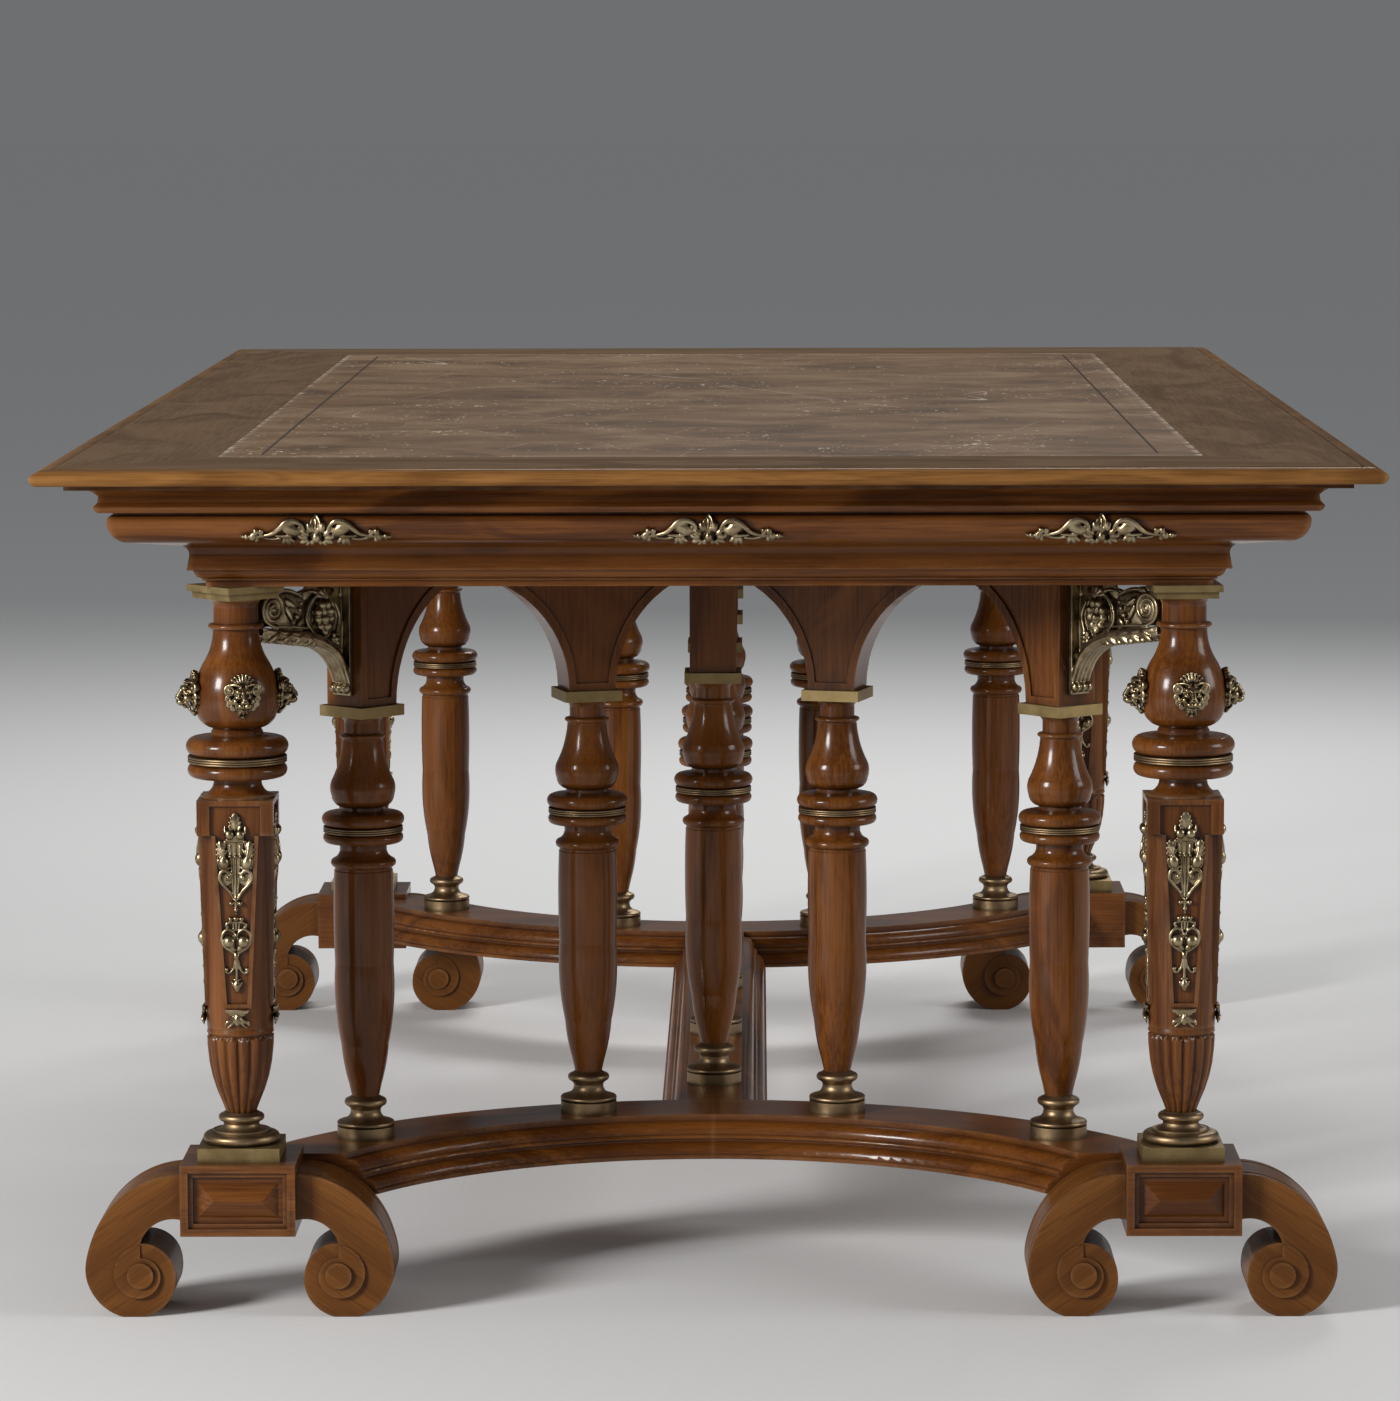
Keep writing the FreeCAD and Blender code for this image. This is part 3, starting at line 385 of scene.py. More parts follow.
def leather(name):
    made, tree, shader = new_material(name)
    here = add(tree, "TexCoord").outputs["Object"]
    parts = add(tree, "SeparateXYZ", {0: here}).outputs
    wear = stretched_noise(tree, here, (0.8, 1, 1), wear_size, 7.0, 0.62, 0.5)
    red = stretched_noise(tree, here, (0.7, 1, 1), red_size, 5.0, 0.6, 0.6)
    ink = stretched_noise(tree, here, (0.6, 1, 1), ink_size, 6.0, 0.62, 0.8)
    rubs = stretched_noise(tree, here, (0.12, 1, 1), rub_size, 5.0, 0.6)
    flecks = stretched_noise(tree, here, (1, 0.4, 1), fleck_size, 3.0, 0.6)
    where = stretched_noise(tree, here, (1, 1, 1), patch_size, 3.0)
    pebble = add(tree, "TexVoronoi", {"Vector": here, "Scale": pebble_size}).outputs["Distance"]
    base = ramp(tree, wear, [(0.34, leather_worn), (0.49, leather_mid), (0.66, leather_pale)])
    warm = mixed(tree, maths(tree, "MULTIPLY_ADD", red, 5.0, -2.95, clamp=True), base, leather_red)
    stained = mixed(tree, maths(tree, "MULTIPLY_ADD", ink, 7.0, -4.35, clamp=True), warm, leather_dark)
    scuffed = mixed(tree, maths(tree, "MULTIPLY_ADD", rubs, 7.0, -4.3, clamp=True), stained, leather_pale)
    lift = maths(tree, "MULTIPLY_ADD", where, 0.35, -0.175)
    speck = maths(tree, "MULTIPLY_ADD", maths(tree, "ADD", flecks, lift), 16.0, -10.7, clamp=True)
    flecked = mixed(tree, speck, scuffed, leather_bare)
    scratched = flecked
    for turn, level in scratch_turns:
        turned = add(tree, "Mapping", {"Vector": here, "Rotation": (0, 0, math.radians(turn))}).outputs[0]
        lines = stretched_noise(tree, turned, (0.07, 1, 1), scratch_size, 0.0)
        thin = maths(tree, "COMPARE", lines, level, scratch_half)
        broken = stretched_noise(tree, turned, (1, 2.5, 1), 6.0, 1.0)
        shown = maths(tree, "MULTIPLY", thin, maths(tree, "GREATER_THAN", broken, 0.60))
        scratched = mixed(tree, maths(tree, "MULTIPLY", shown, scratch_tint), scratched, leather_bare)
    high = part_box("leather_inset")[1]
    edges = [maths(tree, "SUBTRACT", high.x, maths(tree, "ABSOLUTE", parts["X"])),
             maths(tree, "SUBTRACT", high.y, maths(tree, "ABSOLUTE", parts["Y"]))]
    edge = maths(tree, "MINIMUM", *edges)
    near_x = maths(tree, "LESS_THAN", edges[0], edges[1])
    run = maths(tree, "ADD", maths(tree, "MULTIPLY", parts["Y"], near_x),
                maths(tree, "MULTIPLY", parts["X"], maths(tree, "SUBTRACT", 1.0, near_x)))
    stroke = maths(tree, "LESS_THAN", maths(tree, "PINGPONG", run, hatch_pitch / 2), hatch_width)
    band = maths(tree, "MULTIPLY", maths(tree, "LESS_THAN", edge, hatch_length), stroke)
    kept = maths(tree, "MULTIPLY", band, maths(tree, "MULTIPLY_ADD", where, 5.0, -1.9, clamp=True))
    hatched = mixed(tree, maths(tree, "MULTIPLY", kept, hatch_tint), scratched, leather_bare)
    rim = maths(tree, "MULTIPLY_ADD", edge, -1 / scuffed_edge, 1.0, clamp=True)
    frayed = maths(tree, "MULTIPLY", rim, maths(tree, "MULTIPLY_ADD", rubs, 6.0, -2.7, clamp=True))
    scuffed_rim = mixed(tree, maths(tree, "MULTIPLY", frayed, fray_tint), hatched, leather_bare)
    tool = maths(tree, "COMPARE", edge, tool_line, tool_line_half)
    tooled = mixed(tree, maths(tree, "MULTIPLY", tool, tool_tint), scuffed_rim, leather_dark)
    tree.links.new(tooled, shader.inputs["Base Color"])
    tree.links.new(maths(tree, "MULTIPLY_ADD", wear, 0.3, 0.5), shader.inputs["Roughness"])
    shader.inputs["Specular IOR Level"].default_value = 0.0
    shader.inputs["Coat Weight"].default_value = 0.10
    shader.inputs["Coat Roughness"].default_value = 0.38
    height = maths(tree, "ADD", maths(tree, "MULTIPLY", pebble, 0.6), maths(tree, "MULTIPLY", wear, 1.5))
    bump = add(tree, "Bump", {"Height": height, "Strength": 0.25, "Distance": hide_relief})
    tree.links.new(bump.outputs[0], shader.inputs["Normal"])
    return made


# Finish of each node by its name
upright = walnut("walnut_upright", "z")
across = walnut("walnut_across", "x")
along = walnut("walnut_along", "y")
foot_colours = (foot_light, foot_mid, foot_dark)
scrolls = walnut("walnut_scrolls", "scroll", foot_colours, rough=0.42, coat=0.20, gloss=0.05)
# Border rails: the top face carries a painted pale reflection
border_sheen_colours = (border_sheen_light, border_sheen_mid, border_sheen_dark)
edge_colours = (edge_light, edge_mid, edge_dark)
border_across = walnut("border_across", "x", border_sheen_colours, rough=0.44, coat=0.12, gloss=0.0,
                       edge=edge_colours)
border_along = walnut("border_along", "y", border_sheen_colours, rough=0.44, coat=0.12, gloss=0.0,
                      edge=edge_colours)
plate_brass = brass("plate_brass", (plate_light, plate_mid), rough=0.46)
turned_brass = brass("turned_brass", (bronze_light, bronze_mid), rough=0.40)
gilt = brass("gilt_mounts", (mount_light, mount_mid), rough=0.26, reach=0.005, depth=1.15)
bolt_iron = iron("bolt_iron")
hide = leather("worn_leather")

plate_nodes = {"leg_plinths", "leg_capitals", "column_abaci"}
turned_nodes = {"leg_bases", "leg_rings", "column_bases", "column_rings"}
mount_nodes = {"scroll_brackets", "lion_masks", "frieze_mounts", "herm_mounts"}
along_nodes = {"frieze_rail_left", "frieze_rail_right", "stretcher_centre", "top_panel", "soffit_panel"}
upright_starts = ("leg_", "column_", "springers")


def finish_of(name):
    for nodes, metal in ((plate_nodes, plate_brass), (turned_nodes, turned_brass), (mount_nodes, gilt)):
        if name in nodes:
            return metal
    if name == "tie_bolts":
        return bolt_iron
    if name.startswith("top_rail"):
        return border_along if name.endswith(("left", "right")) else border_across
    if name.startswith("foot_scrolls"):
        return scrolls
    if name in along_nodes:
        return along
    return upright if name.startswith(upright_starts) else across


for name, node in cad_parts.items():
    node.data.materials.clear()
    node.data.materials.append(finish_of(name))


# Modelling tools, in millimetres: u across, v up, w outward
lobe_sides = 14
lobe_rings = 9
disc_sides = 40
curl_wind = 0.82
soften_share = 0.5
soften_rounds = 2


def deselect():
    bpy.ops.object.select_all(action="DESELECT")


def lobe(u, v, w, size, turn=0.0):
    deselect()
    turned = (0, 0, math.radians(turn))
    bpy.ops.mesh.primitive_uv_sphere_add(segments=lobe_sides, ring_count=lobe_rings, radius=1.0,
                                         location=(u, v, w), rotation=turned)
    made = bpy.context.object
    made.scale = size
    return made


def ball(u, v, w, radius):
    return lobe(u, v, w, (radius, radius, radius))


def disc(u, v, w, radius, half):
    deselect()
    bpy.ops.mesh.primitive_cylinder_add(vertices=disc_sides, radius=radius, depth=2 * half,
                                        location=(u, v, w))
    return bpy.context.object


def taper(u, v, w, foot_half, head_half, height, thick):
    deselect()
    spread = math.sqrt(2)
    bpy.ops.mesh.primitive_cone_add(vertices=4, radius1=foot_half * spread, radius2=head_half * spread,
                                    depth=height, rotation=(0, 0, math.radians(45)))
    made = bpy.context.object
    bpy.ops.object.transform_apply(location=False, rotation=True, scale=False)
    deepest = max(foot_half, head_half)
    made.data.transform(Matrix.Rotation(math.radians(-90), 4, "X"))
    made.data.transform(Matrix.Diagonal((1, 1, thick / deepest, 1)))
    made.location = (u, v, w)
    return made


def strand(points, radii, side=1):
    curve = bpy.data.curves.new("strand", "CURVE")
    curve.dimensions = "3D"
    curve.bevel_depth = 1.0
    curve.bevel_resolution = 2
    curve.use_fill_caps = True
    spline = curve.splines.new("NURBS")
    spline.points.add(len(points) - 1)
    for knot, (u, v, w), radius in zip(spline.points, points, radii):
        knot.co = (side * u, v, w, 1)
        knot.radius = radius
    spline.order_u = 3
    spline.use_endpoint_u = True
    made = bpy.data.objects.new("strand", curve)
    bpy.context.scene.collection.objects.link(made)
    deselect()
    made.select_set(True)
    bpy.context.view_layer.objects.active = made
    bpy.ops.object.convert(target="MESH")
    return bpy.context.object


def curl(u, v, w, radius, turns, start, hand, thick, taper_to=0.45):
    steps = max(6, round(abs(turns) * 10))
    points, radii = [], []
    for step in range(steps + 1):
        share = step / steps
        angle = math.radians(start) + hand * math.tau * turns * share
        reach = radius * (1 - curl_wind * share)
        points.append((u + reach * math.cos(angle), v + reach * math.sin(angle), w))
        radii.append(thick * (1 - (1 - taper_to) * share))
    return strand(points, radii)


def cast(name, parts, voxel, keep):
    deselect()
    for part in parts:
        part.select_set(True)
    bpy.context.view_layer.objects.active = parts[0]
    bpy.ops.object.join()
    made = bpy.context.object
    bpy.ops.object.transform_apply(location=True, rotation=True, scale=True)
    made.name = name
    skin = made.modifiers.new("skin", "REMESH")
    skin.mode = "VOXEL"
    skin.voxel_size = voxel
    soften = made.modifiers.new("soften", "SMOOTH")
    soften.factor = soften_share
    soften.iterations = soften_rounds
    thin = made.modifiers.new("thin", "DECIMATE")
    thin.ratio = keep
    for modifier in ("skin", "soften", "thin"):
        bpy.ops.object.modifier_apply(modifier=modifier)
    bpy.ops.object.shade_smooth()
    return made


def fixing(azimuth, place, lean=0.0):
    about = Matrix.Rotation(math.radians(azimuth), 4, "Z")
    turn = about @ Matrix.Rotation(math.radians(90 + lean), 4, "X")
    return Matrix.Translation(Vector(place)) @ turn @ Matrix.Scale(mm, 4)


def set_out(name, pattern, fixings, material):
    copies = []
    for matrix in fixings:
        copy = bpy.data.objects.new(name, pattern.data.copy())
        copy.data.transform(matrix)
        bpy.context.scene.collection.objects.link(copy)
        copies.append(copy)
    deselect()
    for copy in copies:
        copy.select_set(True)
    bpy.context.view_layer.objects.active = copies[0]
    if len(copies) > 1:
        bpy.ops.object.join()
    made = bpy.context.object
    made.name = name
    made.data.name = name
    made.data.materials.clear()
    made.data.materials.append(material)
    return made


# Lion mask under a ribbed shell, between two curled locks, with a beaded beard
def lion_mask_pattern():
    parts = [
        lobe(0, -1, 1.0, (10.0, 12.0, 4.4)),
        lobe(0, -12.6, 1.0, (5.6, 8.0, 3.4)),
        lobe(0, 11, 2.0, (9.6, 8.4, 2.2)),
        lobe(0, -1.4, 5.0, (8.4, 7.6, 4.8)),
        lobe(0, 5.4, 6.6, (6.8, 3.0, 3.4)),
    ]
    shell_rise = 7.4
    for step in range(-4, 5):
        turn = math.radians(step * 18)
        way = Vector((math.sin(turn), math.cos(turn)))
        inner, outer = way * 4.0, way * 11.2
        parts += [
            strand([(inner.x, inner.y + shell_rise, 5.4), (outer.x, outer.y + shell_rise, 4.2)],
                   (0.7, 1.15)),
            ball(outer.x, outer.y + shell_rise, 4.2, 1.5),
        ]
    parts += [
        strand([(0, 4.6, 9.6), (0, 0.4, 11.4), (0, -3.8, 13.0)], (1.7, 2.1, 2.9)),
        lobe(0, -4.8, 14.0, (3.7, 1.8, 2.0)),
        strand([(-3.6, -12.6, 8.8), (0, -13.6, 10.6), (3.6, -12.6, 8.8)], (1.1, 1.7, 1.1)),
    ]
    for lock, tip in ((-3.5, -18.2), (0.0, -19.8), (3.5, -18.2)):
        parts += [
            strand([(lock * 0.7, -14.2, 7.2), (lock, -16.4, 6.6), (lock, tip, 4.4)], (1.1, 1.2, 1.0)),
            ball(lock, tip, 4.4, 1.75),
        ]
    for side in (-1, 1):
        parts += [
            lobe(side * 4.5, 3.9, 9.6, (3.7, 2.1, 2.5), side * 16),
            ball(side * 4.7, 0.2, 9.0, 1.5),
            strand([(2.6, -1.8, 10.0), (5.2, -2.0, 9.4), (7.6, 0.2, 7.8)], (0.7, 1.0, 0.6), side),
            lobe(side * 7.6, -4.6, 7.6, (3.0, 3.8, 3.6), side * 16),
            lobe(side * 3.3, -8.6, 12.0, (4.0, 3.3, 3.6), side * 16),
            strand([(6.4, -8.2, 9.4), (6.8, -11.6, 7.8), (5.0, -14.2, 6.6)], (1.4, 1.5, 0.9), side),
            strand([(1.6, 8.4, 8.6), (5.0, 10.0, 8.0), (9.0, 10.4, 6.8), (11.6, 9.6, 6.0)],
                   (1.5, 1.7, 1.6, 1.4), side),
            curl(side * 11.6, 4.8, 5.4, 5.2, 2.1, 90, -side, 1.3, 0.7),
            lobe(side * 11.6, 4.8, 3.4, (4.6, 4.6, 2.4)),
            ball(side * 11.6, 4.8, 5.8, 1.5),
        ]
        for u, v, radius in ((12.8, -2.8, 3.0), (11.6, -8.0, 2.9), (8.6, -11.8, 2.2)):
            parts += [
                curl(side * u, v, 4.6, radius, 1.5, 70, -side, 1.15, 0.7),
                lobe(side * u, v, 2.4, (radius * 0.9, radius * 0.9, 2.0)),
            ]
    return cast("lion_mask_pattern", parts, voxel=0.42, keep=0.26)


# Frieze mount: palmette over a bead, between two rolled acanthus horns that end in beads
def frieze_mount_pattern():
    parts = [
        ball(0, 0, 3.6, 3.7),
        lobe(0, 0, 1.2, (5.6, 5.2, 2.0)),
        lobe(0, 10.2, 1.4, (3.4, 6.6, 1.6)),
        strand([(0, 4.4, 3.6), (0, 10, 3.8), (0, 15.6, 2.2)], (0.8, 0.8, 0.5)),
    ]
    for side in (-1, 1):
        parts += [
            strand([(0.6, 4.4, 3.4), (4.4, 8.8, 3.8), (3.2, 13.4, 3.2), (0, 18.0, 1.8)],
                   (1.1, 1.5, 1.2, 0.6), side),
            lobe(side * 5.6, 7.8, 2.8, (2.9, 4.2, 3.2), side * -26),
            lobe(side * 3.8, -5.8, 2.4, (2.2, 3.0, 2.4), side * 34),
        ]
        for u, v, turn, size in ((9.4, 4.0, -58, 4.2), (11.6, 0.6, -82, 4.8), (11.0, -3.4, -108, 4.4),
                                 (7.6, -5.4, -140, 3.2)):
            parts.append(lobe(side * u, v, 3.0, (size * 0.46, size, 2.8), side * turn))
        ridge = [(10.0, 6.4, 3.4), (12.6, 10.4, 4.6), (18.6, 13.0, 5.4), (26.4, 11.8, 5.6),
                 (32.0, 7.6, 4.8), (38.6, 2.6, 3.4), (47.0, 1.0, 2.2)]
        parts += [
            strand(ridge, (1.2, 1.7, 2.2, 2.4, 2.0, 1.5, 1.0), side),
            lobe(side * 20.5, 5.6, 0.9, (11.0, 6.0, 1.2), side * 12),
            lobe(side * 22.6, 7.0, 3.0, (9.4, 4.6, 4.0), side * 22),
            strand([(14.4, 7.8, 2.6), (20.0, 1.6, 3.6), (28.0, 1.2, 3.8), (35.6, 1.6, 2.8)],
                   (1.0, 1.4, 1.4, 0.8), side),
            curl(side * 13.4, 7.0, 3.4, 3.0, 1.3, 60, side, 1.2, 0.7),
        ]
        for u, v, turn, size in ((20.4, -2.2, 132, 3.6), (24.0, -4.0, 160, 4.2), (28.2, -3.6, -166, 3.8)):
            parts.append(lobe(side * u, v, 3.0, (size * 0.52, size, 2.8), side * turn))
        parts += [
            strand([(30.5, -0.8, 2.6), (36.0, -2.4, 2.2), (42.0, -2.2, 1.8), (49.0, -0.4, 1.8)],
                   (1.3, 1.2, 1.1, 1.0), side),
            curl(side * 47.4, 4.0, 2.6, 2.3, 1.2, -90, side, 1.1),
            strand([(45, 0.4, 2.0), (56, 0.6, 2.2), (66.4, 0.4, 1.0)], (1.4, 1.3, 0.5), side),
        ]
        for u, v, radius in ((52.6, 4.6, 2.7), (55.4, 0.6, 3.2), (52.0, -2.6, 2.0), (60.8, 0.6, 2.2),
                             (64.2, 0.4, 1.2)):
            parts.append(ball(side * u, v, 2.8, radius))
    return cast("frieze_mount_pattern", parts, voxel=0.5, keep=0.26)


# Upper drop: leaf and two fruits over a shield, between two leafy buds on a heart of scrolls
def upper_drop_pattern():
    parts = [
        taper(0, 39, 0.9, 2.4, 7.6, 52, 0.9),
        lobe(0, 83, 2.0, (4.4, 8.6, 2.0)),
        strand([(0, 75, 3.0), (0, 84, 4.2), (0, 92, 2.0)], (0.9, 0.9, 0.4)),
        ball(0, 68.5, 3.0, 2.2),
        strand([(-8, 66.4, 2.4), (0, 65.4, 3.2), (8, 66.4, 2.4)], (1.4, 1.5, 1.4)),
        strand([(0, 12, 2.0), (0, 36, 2.2), (0, 64, 2.0)], (0.9, 0.9, 0.9)),
        ball(0, 51.8, 2.8, 1.8),
        strand([(0, 13, 2.2), (0, 6, 2.2), (0, -0.6, 1.6)], (1.6, 1.2, 1.4)),
        ball(0, 3.4, 2.4, 2.0),
        ball(0, 12.6, 2.6, 1.9),
    ]
    for side in (-1, 1):
        for v, u, turn in ((77.5, 4.2, -34), (81.5, 4.1, -28), (85.5, 3.1, -22)):
            parts.append(lobe(side * u, v, 2.2, (1.3, 3.0, 1.8), side * turn))
        parts += [
            lobe(side * 4.8, 71.6, 3.6, (4.3, 4.7, 3.8), side * -10),
            strand([(7.4, 68.6, 2.4), (9.8, 73.6, 2.8), (8.8, 79.6, 1.6)], (1.3, 1.7, 0.6), side),
            ball(side * 8.6, 65.0, 2.4, 2.0),
            ball(side * 4.8, 51.8, 2.6, 1.6),
            strand([(1.8, 13, 1.8), (2.8, 34, 1.9), (4.6, 62, 1.8)], (0.8, 0.8, 0.8), side),
            lobe(side * 10.2, 46.4, 3.4, (4.8, 6.4, 4.2), side * -12),
            lobe(side * 12.2, 57.6, 2.6, (3.4, 9.4, 2.4), side * -9),
            strand([(10.4, 51, 5.4), (12.0, 59, 5.4), (13.8, 68, 1.8)], (1.0, 1.0, 0.4), side),
        ]
        for u, v, turn in ((15.2, 53.0, -44), (15.6, 57.4, -38), (15.2, 61.8, -30), (8.8, 55.4, 30),
                           (9.9, 60.4, 22)):
            parts.append(lobe(side * u, v, 2.6, (1.3, 3.0, 1.9), side * turn))
        parts += [
            strand([(13.2, 40.6, 2.0), (16.0, 46.0, 2.4), (15.8, 51.4, 1.8)], (1.2, 1.5, 0.7), side),
            strand([(9.6, 40.6, 2.6), (6.8, 40.0, 2.6), (4.2, 42.6, 2.2)], (1.4, 1.3, 0.8), side),
            lobe(side * 8.8, 31, 0.8, (5.4, 6.4, 0.9)),
            strand([(1.4, 12.4, 2.0), (5.2, 20.4, 2.2), (11.2, 26.0, 2.4), (15.0, 32.0, 2.6),
                    (12.8, 38.8, 2.8), (7.8, 39.2, 2.8), (4.2, 35.4, 2.8), (4.8, 30.6, 2.8),
                    (8.2, 31.0, 2.6)], (1.0, 1.3, 1.5, 1.7, 1.8, 1.6, 1.4, 1.3, 1.0), side),
            ball(side * 6.2, 33.0, 3.0, 2.0),
            ball(side * 3.9, 9.4, 2.4, 2.4),
        ]
    return cast("upper_drop_pattern", parts, voxel=0.45, keep=0.20)


# Lower drop: two fruits in a heart, hung from a beaded collar, over a curled stem and a bud
def lower_drop_pattern():
    parts = [
        strand([(0, 8, 1.8), (0, 22, 2.2), (0, 36, 2.4)], (1.1, 1.5, 1.7)),
        ball(0, 52.2, 3.2, 2.0),
        lobe(0, 33, 2.6, (2.8, 3.6, 2.4)),
        ball(0, 66.8, 2.8, 2.6),
        strand([(0, 56, 2.0), (0, 66, 2.2)], (1.0, 1.2)),
        lobe(0, 5.6, 2.4, (3.0, 5.8, 2.6)),
        lobe(0, 11.8, 2.2, (3.8, 1.3, 1.8)),
        lobe(0, 44, 0.9, (10.4, 9.0, 0.9)),
    ]
    for side in (-1, 1):
        parts += [
            ball(side * 4.9, 66.6, 2.5, 2.2),
            strand([(1.2, 63.6, 2.0), (5.4, 63.6, 2.3), (9.0, 62.4, 2.3), (8.8, 58.8, 2.2),
                    (6.6, 59.6, 2.0)], (0.9, 1.2, 1.3, 1.2, 0.8), side),
            strand([(2.8, 64, 1.8), (2.3, 59, 1.8), (2.4, 54.6, 2.0)], (0.8, 0.8, 0.9), side),
            strand([(1.2, 53.4, 2.2), (4.4, 57.6, 2.4), (9.8, 57.0, 2.4), (13.6, 50.4, 2.4),
                    (11.6, 42.4, 2.4), (5.2, 37.8, 2.4), (0.4, 35.0, 2.4)],
                   (1.1, 1.4, 1.5, 1.6, 1.5, 1.4, 1.1), side),
            lobe(side * 6.2, 46.2, 3.6, (5.4, 5.8, 4.4), side * -20),
            lobe(side * 3.2, 40.6, 2.8, (2.6, 4.2, 2.8), side * -34),
            strand([(0.8, 50.4, 3.0), (2.0, 46.0, 3.2), (1.0, 40.0, 3.0)], (0.8, 0.8, 0.7), side),
            strand([(1.2, 34.0, 2.0), (1.5, 26.6, 2.2), (3.2, 20.6, 2.2), (7.2, 17.0, 2.2),
                    (10.6, 19.4, 2.2), (9.4, 22.6, 2.2)], (1.0, 1.1, 1.2, 1.3, 1.2, 0.9), side),
            ball(side * 9.0, 21.0, 2.4, 1.9),
            lobe(side * 3.0, 7.2, 2.0, (1.7, 3.4, 1.9), side * -24),
        ]
    return cast("lower_drop_pattern", parts, voxel=0.45, keep=0.20)


# Bell of leaves on the pedestal's foot
def foot_bell_pattern():
    parts = [
        taper(0, 0, 1.4, 9.8, 10.6, 3.0, 1.8),
        taper(0, -2.6, 1.2, 7.0, 7.6, 2.4, 1.4),
        lobe(0, -8.0, 1.8, (2.9, 5.4, 2.4)),
        strand([(0, -3, 3.0), (0, -9, 3.8), (0, -13.4, 1.8)], (0.8, 0.9, 0.5)),
    ]
    for side in (-1, 1):
        parts += [
            strand([(2.0, -4.0, 1.6), (5.4, -8.4, 2.4), (10.2, -9.4, 2.2), (10.4, -13.0, 1.8)],
                   (1.2, 2.2, 2.0, 0.9), side),
            strand([(3.0, -9.0, 1.8), (5.6, -12.8, 1.8), (8.8, -14.6, 1.4)], (1.2, 1.4, 0.7), side),
        ]
    return cast("foot_bell_pattern", parts, voxel=0.5, keep=0.28)


